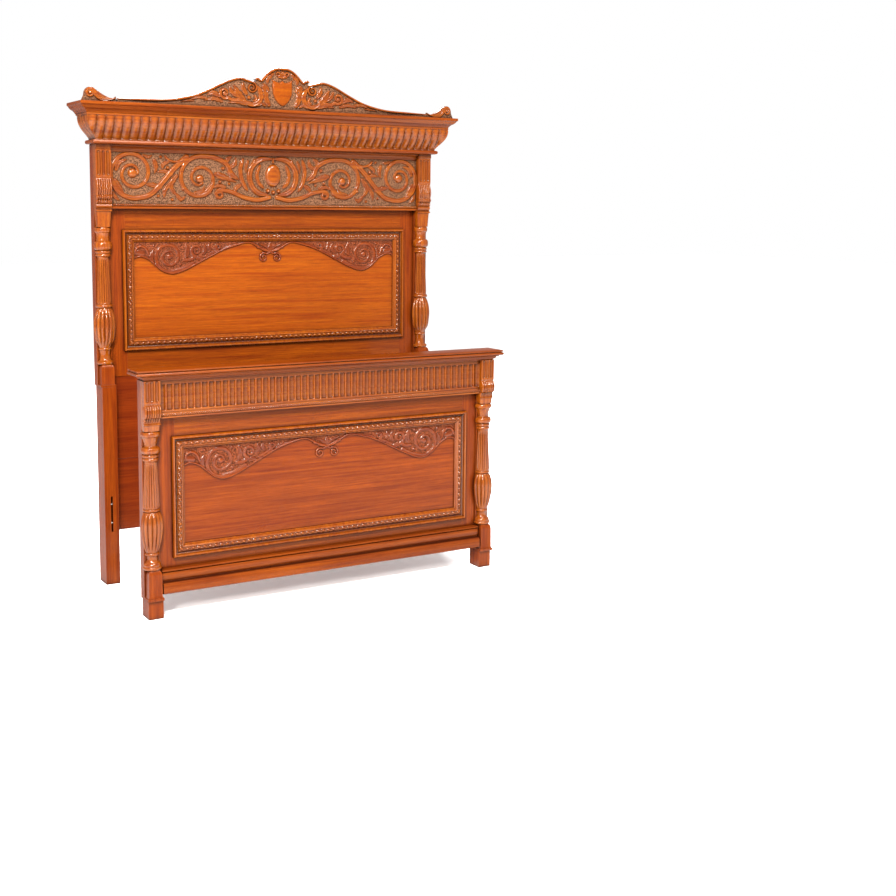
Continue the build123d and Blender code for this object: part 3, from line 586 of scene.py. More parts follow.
def three_sided(name, section, half, front, back, floor):
    """A moulding along the front and both ends, mitred at the corners."""
    middle = Matrix.Translation((0, front, floor))
    pieces = [run_of_moulding(name, section, -half, half, middle, (1.0, 1.0))]
    left = Matrix.Translation((-half, 0, floor)) @ Matrix.Rotation(-math.pi / 2, 4, "Z")
    right = Matrix.Translation((half, 0, floor)) @ Matrix.Rotation(math.pi / 2, 4, "Z")
    pieces.append(run_of_moulding(name, section, -back, -front, left, (0.0, 1.0)))
    pieces.append(run_of_moulding(name, section, front, back, right, (1.0, 0.0)))
    return join(name, pieces)


def into_core(co):
    """Closes a side of the cornice onto the boards behind it."""
    co.x = min(max(co.x, 0.001 - CORE_HALF), CORE_HALF - 0.001)
    co.y = max(co.y, CORE_FRONT + 0.001)


def gadrooned(name, side, sizes):
    """One side of the gadroon moulding; side 0 is the front."""
    bow = np.array(through(list(GADROON_BOW), 4))
    rows = len(bow) - 1
    pitch = 2 * GADROON_SPAN / sizes.gadroon_count

    def lobes(along, share, from_mitre):
        groove = 1 - np.abs(np.sin(math.pi * along / pitch)) ** 0.75
        depth = GADROON_DEPTH * np.sin(math.pi * np.clip(share * 1.16, 0, 1) ** 0.85) ** 0.6
        return groove * depth * np.clip(from_mitre / MITRE_FADE, 0, 1)

    def place(u, v):
        row = np.rint(v * rows).astype(int)
        out, z = bow[row, 0], bow[row, 1]
        if side == 0:
            x = (2 * u - 1) * (CORE_HALF + out)
            cut = lobes(x - GADROON_SPAN, v, CORE_HALF + out - np.abs(x))
            y = CORE_FRONT - out + cut
        else:
            front = CORE_FRONT - out
            y = front + u * (CORNICE_BACK - front)
            cut = lobes(y - CORNICE_BACK, v, y - front)
            x = side * (CORE_HALF + out - cut)
        # The last value paints shade in the grooves between the lobes.
        return x, y, z, -75 * cut

    columns = sizes.gadroon_count * 12 if side == 0 else 60
    return carved_face(name, columns, rows, place, into_core, 50)


class BED_OT_cornice(bpy.types.Operator):
    """Build the cornice's bead, gadroons, edge moulding and fascia"""

    bl_idname = "bed.cornice"
    bl_label = "Cornice"

    def execute(self, context):
        sizes = context.scene.bed_sizes
        wood = "mahogany along"
        low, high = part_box("cornice_bead")
        bead = three_sided("shaped_cornice_bead", BEAD_SECTION, CORE_HALF, CORE_FRONT, high[1], low[2])
        finish_piece(bead, "headboard", wood, "mahogany", "cornice_bead")
        low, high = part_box("cornice_edge_moulding")
        edge = three_sided("shaped_cornice_edge_moulding", EDGE_SECTION, CORE_HALF, CORE_FRONT, high[1],
                           low[2])
        finish_piece(edge, "headboard", wood, "mahogany", "cornice_edge_moulding")
        sides = [gadrooned("shaped_cornice_gadroons", side, sizes) for side in (0, -1, 1)]
        finish_piece(join("shaped_cornice_gadroons", sides), "headboard", "carved mahogany",
                     "carved_mahogany", "cornice_gadroon_moulding")
        low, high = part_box("cornice_fascia")
        fascia = run_of_moulding("shaped_cornice_fascia", FASCIA_SECTION, low[0], high[0],
                                 Matrix.Translation((0, high[1], low[2])))
        finish_piece(fascia, "headboard", wood, "mahogany", "cornice_fascia")
        return {"FINISHED"}


# --- crest ------------------------------------------------------------------------------

# right half, in millimetres: (across, up)
CREST_TOP = (
    (0, 2069), (24, 2067), (46, 2058), (66, 2041), (84, 2022), (93, 2015), (103, 2018), (113, 2020),
    (122, 2008), (134, 2002), (152, 2012), (176, 2019), (205, 2016), (245, 2003), (313, 1970), (382, 1942),
    (480, 1921), (600, 1917), (688, 1916),
)
CORNER_TOP = (
    (692, 1926), (699, 1920), (708, 1918), (722, 1921), (738, 1928), (754, 1937), (768, 1948), (789, 1958),
    (804, 1953), (813, 1940), (815, 1926), (824, 1907),
)


def crest_strokes():
    """The carving of the crest, in millimetres."""
    return mirrored([
        stroke([(112, 1996), (96, 1968), (102, 1936), (134, 1920), (168, 1934)], 11, groove=0.4),
        stroke([(124, 1960), (116, 1944), (128, 1934)], 6),
        leaf([(88, 1996), (78, 1972), (84, 1946)], 8),
        leaf([(60, 1922), (72, 1946), (66, 1978)], 11),
        leaf([(62, 1980), (74, 1996), (88, 2006)], 8),
        leaf([(56, 2040), (66, 2024), (66, 2006)], 8),
        leaf([(40, 2050), (50, 2040), (52, 2026)], 6),
        leaf([(76, 1918), (92, 1926), (112, 1914)], 6),
        leaf([(164, 1928), (190, 1958), (214, 1996)], 14),
        leaf([(158, 1962), (172, 1984), (172, 2006)], 10),
        leaf([(196, 1950), (222, 1968), (232, 1992)], 9),
        leaf([(160, 1920), (196, 1930), (236, 1924)], 9),
        scroll((253, 1962), 22, 6, 230, 1.3, 8, lead=[(192, 1938), (220, 1936)]),
        leaf([(274, 1948), (302, 1960), (326, 1950)], 10),
        leaf([(262, 1928), (302, 1937), (340, 1928)], 8),
        leaf([(330, 1938), (366, 1940), (398, 1928)], 7),
        leaf([(380, 1925), (410, 1924), (436, 1919)], 4),
        scroll((21, 2047), 11, 3, 250, -1.2, 5, lead=[(3, 2034), (9, 2036)]),
        leaf([(3, 2034), (5, 2048), (2, 2062)], 6),
        dome((148, 1948), 8),
        dome((253, 1962), 7),
    ])


def board_under(name, top, floor, columns, rows, strokes, face, depth, thickness, side=0):
    """A carved board under a curved top line; side 0 spans both halves."""
    line = np.array(through(list(top), 4))

    def place(u, v):
        if side == 0:
            x = (2 * u - 1) * line[-1, 0]
        else:
            x = side * (line[0, 0] + u * (line[-1, 0] - line[0, 0]))
        crown = np.interp(np.abs(x), line[:, 0], line[:, 1])
        z = floor + v * (crown - floor)
        raised = relief(x, z, strokes)
        bare = np.clip(1 - raised * 3, 0, 1)
        y = face - raised * depth + stipple(x / 1000, z / 1000, 0.0004) * bare
        return x / 1000, y, z / 1000, ground_and_side_shade(raised)

    return carved_face(name, columns, rows, place, onto(1, face + thickness), 60)


def rim_paths():
    """The crest's top moulding, in millimetres: a wing that curls into a volute, and the arch."""
    volute = scroll((135, 1988), 22, 5, 90, 1.6, 1)[0]
    wing = [(688, 1917), (600, 1918), (480, 1923), (382, 1943), (313, 1971), (245, 2004), (205, 2018),
            (178, 2021), (155, 2015)]
    wing = np.vstack([np.array(through(wing + [tuple(volute[0])], 5))[:-1], volute])
    arch = [(118, 2021), (110, 2026), (101, 2020), (92, 2018), (84, 2024), (66, 2043), (46, 2059),
            (24, 2067.5), (0, 2069)]
    arch = np.array(through(arch, 5))
    arch = np.vstack([arch, (arch * (-1, 1))[::-1][1:]])
    return wing, arch


class BED_OT_crest(bpy.types.Operator):
    """Carve the crest board with its rim, shield and corner scrolls"""

    bl_idname = "bed.crest"
    bl_label = "Crest"

    def execute(self, context):
        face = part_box("crest_board")[0][1]
        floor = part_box("crest_board")[0][2] * 1000
        board = board_under("shaped_crest_board", CREST_TOP, floor, 620, 84, crest_strokes(), face,
                            0.009, 0.020)
        finish_piece(board, "headboard", "carved mahogany", "carved_mahogany", "crest_board",
                     "crest_leaf_carving")

        wing, arch = rim_paths()
        section = round_section(RIM_HALF, 0.013, 14)
        shrink = np.interp(np.arange(len(wing)), (0, 6, len(wing) - 50, len(wing) - 1), (0.5, 1, 1, 0.75))
        rims = [swept("shaped_crest_rim", wing / 1000 * (side, 1), section, face + 0.004, shrink)
                for _, side in SIDES]
        rims.append(swept("shaped_crest_rim", arch / 1000, section, face + 0.004))
        finish_piece(join("shaped_crest_rim", rims), "headboard", "turned mahogany", "carved_mahogany",
                     "crest_rim")

        low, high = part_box("crest_shield")

        def shield(u, v):
            s = 2 * u - 1
            half = np.interp(v, (0, 0.04, 0.12, 0.25, 0.45, 0.7, 0.88, 1.0),
                             (0.001, 0.010, 0.021, 0.033, 0.043, 0.0455, 0.0435, 0.0480))
            crown = high[2] - 0.016 + 0.015 * np.abs(s) ** 2.5 + 0.010 * np.clip(1 - 4 * np.abs(s), 0, 1)
            inner = np.minimum((1 - np.abs(s)) * half / 0.006, np.minimum(v, 1 - v) * 0.11 / 0.006)
            inner = np.minimum(1, inner)
            swell = (1 - s * s) * np.sin(math.pi * v)
            y = face + 0.001 - 0.006 * np.sin(inner * math.pi / 2) - 0.004 * swell
            return s * half, y, low[2] + v * (crown - low[2]), np.full_like(u, -0.2)

        plate = carved_face("shaped_crest_shield", 40, 44, shield, onto(1, face + 0.002), 50)
        finish_piece(plate, "headboard", "panel mahogany", "carved_mahogany", "crest_shield")

        curls = [scroll((791, 1936), 19, 5, 200, -1.6, 7, lead=[(702, 1920), (728, 1912), (754, 1914)]),
                 leaf([(768, 1940), (744, 1925), (712, 1914)], 9),
                 leaf([(764, 1926), (740, 1914), (706, 1920)], 7), dome((791, 1936), 6)]
        corners = []
        for _, side in SIDES:
            turned = [(line * (side, 1), width, height, groove) for line, width, height, groove in curls]
            corners.append(board_under("shaped_crest_corner_scrolls", CORNER_TOP, floor, 70, 26, turned,
                                       face + 0.004, 0.008, 0.014, side))
        finish_piece(join("shaped_crest_corner_scrolls", corners), "headboard", "carved mahogany",
                     "carved_mahogany", "crest_corner_scrolls")
        return {"FINISHED"}


# --- headboard frieze -------------------------------------------------------------------

def frieze_strokes():
    """The scrolling foliage of the frieze, in millimetres from its middle line."""
    half = [
        scroll((-603, 1640), 100, 20, -75, -1.8, 12,
               lead=[(-378, 1708), (-430, 1662), (-486, 1598), (-532, 1556)], height=0.95),
        scroll((-323, 1622), 91, 19, 90, 1.6, 11, lead=[(-190, 1652), (-210, 1686), (-262, 1710)],
               height=0.95),
        dome((-603, 1640), 19, 1.2), dome((-323, 1622), 17, 1.2),
        leaf([(-668, 1652), (-656, 1680), (-624, 1692)], 10),
        leaf([(-674, 1612), (-658, 1586), (-640, 1562)], 10),
        leaf([(-686, 1566), (-674, 1546), (-656, 1532)], 8),
        leaf([(-560, 1712), (-536, 1704), (-522, 1712)], 6),
        leaf([(-514, 1694), (-506, 1668), (-512, 1640)], 9),
        stroke([(-392, 1696), (-428, 1688), (-456, 1696), (-470, 1712)], 5),
        leaf([(-452, 1690), (-476, 1676), (-480, 1658)], 8),
        dome((-458, 1664), 7), dome((-486, 1706), 6),
        leaf([(-440, 1636), (-470, 1650), (-502, 1646)], 9),
        leaf([(-486, 1584), (-520, 1594), (-552, 1598)], 10),
        leaf([(-420, 1634), (-446, 1592), (-418, 1550)], 11),
        leaf([(-424, 1560), (-404, 1540), (-384, 1552)], 8),
        leaf([(-446, 1606), (-470, 1574), (-474, 1544)], 9),
        dome((-498, 1552), 6), dome((-440, 1538), 6), dome((-396, 1580), 6),
        leaf([(-324, 1556), (-286, 1574), (-266, 1612)], 14),
        leaf([(-346, 1566), (-318, 1572), (-300, 1594)], 7),
        leaf([(-256, 1642), (-222, 1632), (-164, 1612)], 13),
        leaf([(-198, 1664), (-182, 1640), (-152, 1622)], 12),
        leaf([(-210, 1690), (-200, 1704), (-184, 1716)], 9),
        leaf([(-196, 1668), (-170, 1686), (-166, 1712)], 9),
        dome((-236, 1612), 7), dome((-196, 1604), 6), dome((-222, 1666), 8),
        scroll((-238, 1561), 18, 7, 90, 1.15, 10,
               lead=[(-18, 1551), (-72, 1540), (-132, 1550), (-188, 1572)]),
        leaf([(-212, 1590), (-244, 1596), (-272, 1584)], 8),
        stroke([(-8, 1710), (-58, 1706), (-94, 1676), (-106, 1636), (-94, 1594), (-64, 1568),
                (-26, 1562)], 12, groove=0.45),
        stroke([(-134, 1708), (-146, 1664), (-138, 1616), (-116, 1578)], 9, groove=0.35),
        stroke([(-44, 1590), (-66, 1612), (-72, 1648), (-58, 1684)], 8, groove=0.3),
        leaf([(-146, 1600), (-166, 1586), (-176, 1560)], 9),
        leaf([(-112, 1700), (-120, 1676), (-122, 1650)], 7),
        dome((-24, 1578), 9, 1.1), dome((-84, 1700), 8),
    ]
    egg = [oval((0, 1641), 35, 47, 1.4),
           stroke([(0, 1694), (0, 1712)], 10, 1.0), dome((0, 1572), 9, 1.2)]
    return mirrored(half) + egg


class BED_OT_headboard_frieze(bpy.types.Operator):
    """Carve the foliage frieze and the strips under it"""

    bl_idname = "bed.headboard_frieze"
    bl_label = "Headboard frieze"

    def execute(self, context):
        sizes = context.scene.bed_sizes
        low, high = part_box("frieze_panel")
        strokes = frieze_strokes()

        def place(u, v):
            x = low[0] + u * (high[0] - low[0])
            z = low[2] + v * (high[2] - low[2])
            raised = relief(x * 1000, z * 1000, strokes)
            bare = np.clip(1 - raised * 3, 0, 1)
            y = low[1] - raised * sizes.carving_depth + stipple(x, z, 0.0004) * bare
            return x, y, z, ground_and_side_shade(raised)

        piece = carved_face("shaped_headboard_frieze", int((high[0] - low[0]) / sizes.carving_pitch),
                            int((high[2] - low[2]) / sizes.carving_pitch), place, onto(1, high[1]), 75)
        finish_piece(piece, "headboard", "carved mahogany", "carved_mahogany",
                     "frieze_panel", "frieze_carving")
        rope_strip("frieze_bead_strip", "headboard", sizes)
        ledge("frieze_ledge", "headboard")
        return {"FINISHED"}


def rope_strip(node, board, sizes):
    """A narrow strip carved as a twisted rope."""
    low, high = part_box(node)
    rope_low, rope_high = (0.0, 1.0) if high[2] - low[2] < 0.015 else (0.30, 0.80)
    depth = 0.005

    def place(u, v):
        x = low[0] + u * (high[0] - low[0])
        z = low[2] + v * (high[2] - low[2])
        across = np.clip((v - rope_low) / (rope_high - rope_low), 0, 1) * 2 - 1
        round_out = np.sqrt(np.clip(1 - across ** 2, 0, 1))
        twist = np.abs(np.sin(math.pi * (x / sizes.rope_pitch + 0.35 * across)))
        strip = (v >= rope_low) & (v <= rope_high)
        ledge_out = np.where(v > rope_high, 0.2, 0.55)
        share = np.where(strip, round_out * (0.25 + 0.75 * twist), ledge_out)
        # The last value paints shade in the hollows between the twists of the rope.
        return x, low[1] + depth * (1 - share), z, np.where(strip, -0.9 * (1 - share), 0)

    rows = 8 if rope_low == 0.0 else 20
    columns = int((high[0] - low[0]) / 0.0013)
    piece = carved_face("shaped_" + node, columns, rows, place, onto(1, high[1]), 60)
    return finish_piece(piece, board, "carved mahogany", "carved_mahogany", node)


def ledge(node, board):
    """A plain strip with a rounded nose."""
    low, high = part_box(node)
    deep, tall = high[1] - low[1], high[2] - low[2]
    section = [(0.0, 0.0), (deep - 0.004, 0.0), (deep - 0.001, tall * 0.15), (deep, tall * 0.45),
               (deep - 0.001, tall * 0.8), (deep - 0.004, tall), (0.0, tall)]
    strip = run_of_moulding("shaped_" + node, section, low[0], high[0],
                            Matrix.Translation((0, high[1], low[2])))
    return finish_piece(strip, board, "mahogany along", "mahogany", node)


# --- panels -----------------------------------------------------------------------------

PANEL_SECTION = (
    (0.0, 0.0), (0.012, 0.0), (0.018, 0.0005), (0.0225, 0.0025), (0.0248, 0.0055), (0.0245, 0.008),
    (0.021, 0.0105), (0.017, 0.0115), (0.0125, 0.0125), (0.01, 0.0155), (0.0095, 0.0185), (0.011, 0.0215),
    (0.014, 0.0232), (0.014, 0.036), (0.016, 0.0368), (0.0165, 0.0385), (0.015, 0.041), (0.011, 0.044),
    (0.0065, 0.0465), (0.0055, 0.049), (0.003, 0.05), (0.0, 0.05),
)
# millimetres: (from the middle, below the top of the field)
SPANDREL_LINE = (
    (0, -47), (30, -42), (60, -24), (100, -8), (160, -20), (224, -42), (325, -92), (385, -120), (432, -132),
    (470, -122), (500, -100), (530, -74), (566, -60), (592, -68),
)


def picture_frame(low, high, back):
    """Where the four lengths of a moulding round a panel go: start, end and matrix of each."""
    middle_x, middle_z = (low[0] + high[0]) / 2, (low[2] + high[2]) / 2
    wide, tall = (high[0] - low[0]) / 2, (high[2] - low[2]) / 2
    sides = []
    for turn, reach, length in ((0, tall, wide), (180, tall, wide), (90, wide, tall), (-90, wide, tall)):
        place = (Matrix.Translation((middle_x, back, middle_z)) @ Matrix.Rotation(math.radians(turn), 4, "Y")
                 @ Matrix.Translation((0, 0, -reach)))
        sides.append((-length, length, place))
    return sides


# the strip that carries the eggs: its start and width up the moulding, its seat and the eggs' rise
EGG_LOW, EGG_WIDTH, EGG_SEAT, EGG_RISE = 0.0236, 0.0120, 0.0138, 0.0052


def egg_run(name, start, end, pitch, place_matrix):
    """A mitred length of egg and dart."""
    count = round((end - start) / pitch)
    pitch = (end - start) / count

    def place(u, v):
        reach = EGG_LOW + v * EGG_WIDTH
        x = (start + reach) + u * ((end - reach) - (start + reach))
        across = 2 * v - 1
        step = ((x - start) / pitch) % 1.0 - 0.5
        egg = np.sqrt(np.clip(1 - (step / 0.34) ** 2 - (across / 0.95) ** 2, 0, 1))
        dart = np.clip(1 - np.abs(np.abs(step) - 0.5) / (0.03 + 0.05 * (1 + across)), 0, 1) * 0.75
        tall = np.maximum(egg, dart)
        # The last value paints shade in the hollows round the eggs and darts.
        return x, -(EGG_SEAT + EGG_RISE * tall), reach, -0.45 * (1 - tall)

    piece = carved_face(name, count * 12, 8, place, onto(1, LAP - EGG_SEAT), 60)
    piece.data.transform(place_matrix)
    return piece


class BED_OT_panel_mouldings(bpy.types.Operator):
    """Run the mitred mouldings and the egg and dart round both panels"""

    bl_idname = "bed.panel_mouldings"
    bl_label = "Panel mouldings"

    def execute(self, context):
        sizes = context.scene.bed_sizes
        for board in BOARDS:
            low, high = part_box(board + "_panel_moulding")
            sides = picture_frame(low, high, high[1])
            name = "shaped_" + board + "_panel_moulding"
            lengths = [run_of_moulding(name, PANEL_SECTION, start, end, place, (-1.0, -1.0), by_height=True,
                                       dark=(0, 1, 9, 10, 20))
                       for start, end, place in sides]
            finish_piece(join(name, lengths), board, "turned mahogany", "mahogany",
                         board + "_panel_moulding")
            name = "shaped_" + board + "_panel_beading"
            eggs = [egg_run(name, start, end, sizes.egg_pitch, place) for start, end, place in sides]
            finish_piece(join(name, eggs), board, "carved mahogany", "carved_mahogany",
                         board + "_panel_beading")
        return {"FINISHED"}


def spandrel_strokes():
    """The foliage of a panel's upper corners, in millimetres from the middle and below the field's top."""
    return mirrored([
        scroll((446, -60), 62, 13, -100, 1.8, 9, lead=[(346, -88), (384, -108)]),
        dome((446, -60), 12, 1.1),
        scroll((328, -36), 24, 7, -70, 1.25, 8, lead=[(380, -74), (352, -72)]),
        leaf([(296, -74), (322, -66), (352, -60)], 9),
        leaf([(372, -60), (366, -36), (372, -10)], 10),
        leaf([(300, -50), (290, -30), (296, -10)], 8),
        scroll((234, -22), 14, 5, -80, 1.3, 6, lead=[(290, -60), (262, -46)]),
        leaf([(268, -36), (274, -20), (270, -8)], 7),
        leaf([(214, -28), (190, -18), (166, -12)], 6),
        leaf([(166, -11), (144, -8), (120, -5)], 4),
        leaf([(516, -84), (520, -60), (512, -34)], 9),
        stroke([(528, -62), (540, -30), (562, -17), (582, -26), (591, -50)], 6),
        stroke([(556, -46), (576, -42)], 13, 0.7, taper=(0.9, 0.9)),
        leaf([(408, -118), (440, -122), (474, -112)], 7),
        dome((398, -92), 6), dome((510, -14), 6), dome((400, -12), 6),
        leaf([(6, -34), (24, -20), (56, -8)], 6),
    ]) + [leaf([(0, -40), (0, -22), (0, -4)], 8)]


class BED_OT_spandrels(bpy.types.Operator):
    """Carve the foliage in the upper corners of both panels"""

    bl_idname = "bed.spandrels"
    bl_label = "Panel carving"

    def execute(self, context):
        line = np.array(through(list(SPANDREL_LINE), 5))
        slope = np.gradient(line[:, 1], line[:, 0])
        strokes = spandrel_strokes()
        for board in BOARDS:
            low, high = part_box(board + "_panel_carving")

            def place(u, v):
                x = (2 * u - 1) * line[-1, 0]
                below = np.interp(np.abs(x), line[:, 0], line[:, 1])
                tilt = np.interp(np.abs(x), line[:, 0], slope)
                z = below + v * (0.5 - below)
                off = (z - below) / np.hypot(1, tilt)
                rim = np.sqrt(np.clip(1 - ((off - 4.0) / 4.0) ** 2, 0, 1)) * (off < 8)
                raised = np.maximum(relief(x, z, strokes), rim)
                bare = np.clip(1 - raised * 3, 0, 1)
                y = high[1] - 0.0008 - 0.0062 * raised + stipple(x / 1000, z / 1000, 0.0003) * bare
                return x / 1000, y, high[2] + z / 1000, ground_and_side_shade(raised)

            name = "shaped_" + board + "_panel_carving"
            parts = [carved_face(name, 600, 64, place, onto(1, high[1] + LAP), 70)]
            for _, side in SIDES:
                curl = scroll((30, -68), 20, 5, 130, -1.4, 1, lead=[(-60, -24), (-30, -33), (0, -45)])[0]
                curl = curl[::-1] if side < 0 else curl
                path = curl / 1000 * (side, 1) + (0, high[2])
                section = round_section(RIM_HALF, 0.0055, 10)
                taper = np.linspace(1, 0.75, len(path))
                taper = taper if side > 0 else taper[::-1]
                parts.append(swept(name, path, section, high[1] - 0.001, taper))
            finish_piece(join(name, parts), board, "spandrel mahogany", "carved_mahogany",
                         board + "_panel_carving")
        return {"FINISHED"}


# --- footboard --------------------------------------------------------------------------

CAP_EDGE = (
    (0.01, 0.0), (0.005, 0.0008), (0.0015, 0.003), (0.0, 0.0065), (0.0015, 0.01), (0.005, 0.0122),
    (0.0075, 0.0128), (0.0075, 0.0138), (0.0035, 0.0145), (0.002, 0.0172), (0.0035, 0.0203),
    (0.0085, 0.022),
)
CAP_MOULDING_EDGE = (
    (0.02, 0.0), (0.018, 0.003), (0.0155, 0.0036), (0.012, 0.006), (0.0095, 0.0105), (0.0082, 0.0145),
    (0.003, 0.0155), (0.0, 0.0168), (0.0, 0.019),
)
BASE_SECTION = (
    (0.0, 0.0), (0.042, 0.0), (0.045, 0.003), (0.045, 0.034), (0.042, 0.04), (0.033, 0.0415),
    (0.027, 0.045), (0.029, 0.05), (0.031, 0.056), (0.031, 0.07), (0.029, 0.0765), (0.024, 0.078),
    (0.029, 0.08), (0.032, 0.0835), (0.03, 0.087), (0.026, 0.088), (0.0, 0.088),
)


def moulded_slab(name, low, high, edge):
    """A slab whose front and ends follow an (inset, height) profile; its back is plain."""
    deselect()
    bpy.ops.mesh.primitive_plane_add(size=1)
    piece = bpy.context.object
    piece.name = name
    set_points(piece.data, outline_at(points_of(piece.data), low, high, edge[0]))
    bpy.ops.object.mode_set(mode="EDIT")
    bpy.ops.mesh.select_all(action="SELECT")
    for step in edge[1:]:
        bpy.ops.mesh.extrude_region_move(TRANSFORM_OT_translate={"value": (0, 0, 0.001)})
        edit = bmesh.from_edit_mesh(piece.data)
        moved = [vertex for vertex in edit.verts if vertex.select]
        middle_x = sum(vertex.co.x for vertex in moved) / len(moved)
        middle_y = sum(vertex.co.y for vertex in moved) / len(moved)
        corner = np.array([(vertex.co.x - middle_x, vertex.co.y - middle_y, 0) for vertex in moved])
        for vertex, spot in zip(moved, outline_at(corner, low, high, step)):
            vertex.co = spot
        bmesh.update_edit_mesh(piece.data)
    bpy.ops.mesh.select_all(action="SELECT")
    bpy.ops.mesh.normals_make_consistent(inside=False)
    bpy.ops.object.mode_set(mode="OBJECT")
    shade(piece, 35)
    return piece


def outline_at(corners, low, high, step):
    """The four corners of a moulded slab at one step of its edge."""
    inset, height = step
    x = np.where(corners[:, 0] < 0, low[0] + inset, high[0] - inset)
    y = np.where(corners[:, 1] < 0, low[1] + inset, high[1])
    return np.column_stack([x, y, np.full(len(x), low[2] + height)])


FLUTE_FOOT, FLUTE_HEAD = 0.008, 0.104
FLUTE_SHARE = 0.385      # half width of a flute as a share of the pitch
FLUTE_DEPTH = 0.0080


class BED_OT_footboard_frieze(bpy.types.Operator):
    """Cut the fluted frieze of the footboard and the rope strip under it"""

    bl_idname = "bed.footboard_frieze"
    bl_label = "Footboard frieze"

    def execute(self, context):
        sizes = context.scene.bed_sizes
        low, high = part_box("footboard_frieze")
        pitch = (high[0] - low[0]) / sizes.flute_count
        half_flute = pitch * FLUTE_SHARE

        def place(u, v):
            x = low[0] + u * (high[0] - low[0])
            height = v * (high[2] - low[2])
            step = (((x - low[0]) / pitch) % 1.0 - 0.5) * pitch
            fluted = (height > FLUTE_FOOT) & (height < FLUTE_HEAD)
            cut = np.sqrt(np.clip(1 - (step / half_flute) ** 2, 0, 1)) * fluted
            fillet = np.clip((np.abs(step) - half_flute) / (pitch / 2 - half_flute), 0, 1)
            lip = np.where(fluted, 0.0022 - 0.0018 * np.sqrt(fillet), 0.0)
            # The last value paints shade in the flutes.
            return x, low[1] + lip + FLUTE_DEPTH * cut, low[2] + height, -0.45 * cut

        piece = carved_face("shaped_footboard_frieze", sizes.flute_count * 18, 60, place,
                            onto(1, high[1]), 38)
        finish_piece(piece, "footboard", "carved mahogany", "carved_mahogany",
                     "footboard_frieze")
        rope_strip("footboard_frieze_bead_strip", "footboard", sizes)
        return {"FINISHED"}


class BED_OT_footboard_mouldings(bpy.types.Operator):
    """Run the footboard's cap, the moulding under it and the base moulding"""

    bl_idname = "bed.footboard_mouldings"
    bl_label = "Footboard mouldings"

    def execute(self, context):
        wood = "mahogany along"
        for node, edge in (("footboard_cap", CAP_EDGE), ("footboard_cap_moulding", CAP_MOULDING_EDGE)):
            low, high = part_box(node)
            board = moulded_slab("shaped_" + node, low, high, edge)
            finish_piece(board, "footboard", wood, "mahogany", node)
        low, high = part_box("footboard_base_moulding")
        base = run_of_moulding("shaped_footboard_base_moulding", BASE_SECTION, low[0], high[0],
                               Matrix.Translation((0, high[1], low[2])), dark=(5, 6, 11))
        finish_piece(base, "footboard", wood, "mahogany", "footboard_base_moulding")
        return {"FINISHED"}


# --- finishes ---------------------------------------------------------------------------

def node_group(name, inputs, outputs):
    """A new shader group with named sockets."""
    group = bpy.data.node_groups.new(name, "ShaderNodeTree")
    for label, kind, value in inputs:
        socket = group.interface.new_socket(name=label, in_out="INPUT", socket_type=kind)
        if value is not None:
            socket.default_value = value
    for label, kind in outputs:
        group.interface.new_socket(name=label, in_out="OUTPUT", socket_type=kind)
    return group, group.nodes.new("NodeGroupInput"), group.nodes.new("NodeGroupOutput")


def noise(tree, vector, stretch, scale, detail=4.0, distortion=0.0):
    """Noise in coordinates stretched by an axis triple; gives its value socket."""
    mapping = tree.nodes.new("ShaderNodeMapping")
    mapping.inputs["Scale"].default_value = stretch
    texture = tree.nodes.new("ShaderNodeTexNoise")
    texture.inputs["Scale"].default_value = scale
    texture.inputs["Detail"].default_value = detail
    texture.inputs["Distortion"].default_value = distortion
    tree.links.new(vector, mapping.inputs["Vector"])
    tree.links.new(mapping.outputs["Vector"], texture.inputs["Vector"])
    return texture.outputs["Fac"]


def ramp(tree, value, low, high, to_low=0.0, to_high=1.0):
    """A value stretched from one range to another and clamped."""
    spread = tree.nodes.new("ShaderNodeMapRange")
    spread.inputs["From Min"].default_value = low
    spread.inputs["From Max"].default_value = high
    spread.inputs["To Min"].default_value = to_low
    spread.inputs["To Max"].default_value = to_high
    tree.links.new(value, spread.inputs["Value"])
    return spread.outputs["Result"]


def maths(tree, operation, first, second):
    """One sum of two values, either of which may be a socket."""
    node = tree.nodes.new("ShaderNodeMath")
    node.operation = operation
    node.use_clamp = operation != "SUBTRACT"
    for socket, value in zip(node.inputs, (first, second)):
        if isinstance(value, bpy.types.NodeSocket):
            tree.links.new(value, socket)
        else:
            socket.default_value = value
    return node.outputs["Value"]


def blend_colour(tree, share, first, second, mode="MIX"):
    """A mix of two colours, each a socket or a triple."""
    node = tree.nodes.new("ShaderNodeMix")
    node.data_type = "RGBA"
    node.blend_type = mode
    sockets = (node.inputs[0], node.inputs[6], node.inputs[7])
    for socket, value in zip(sockets, (share, first, second)):
        if isinstance(value, bpy.types.NodeSocket):
            tree.links.new(value, socket)
        elif isinstance(value, float):
            socket.default_value = value
        else:
            socket.default_value = (*value, 1.0)
    return node.outputs[2]


def tinted(colour, *shares):
    """A colour with its parts scaled, by one share or by one each."""
    shares = shares * len(colour) if len(shares) == 1 else shares
    return tuple(part * share for part, share in zip(colour, shares))


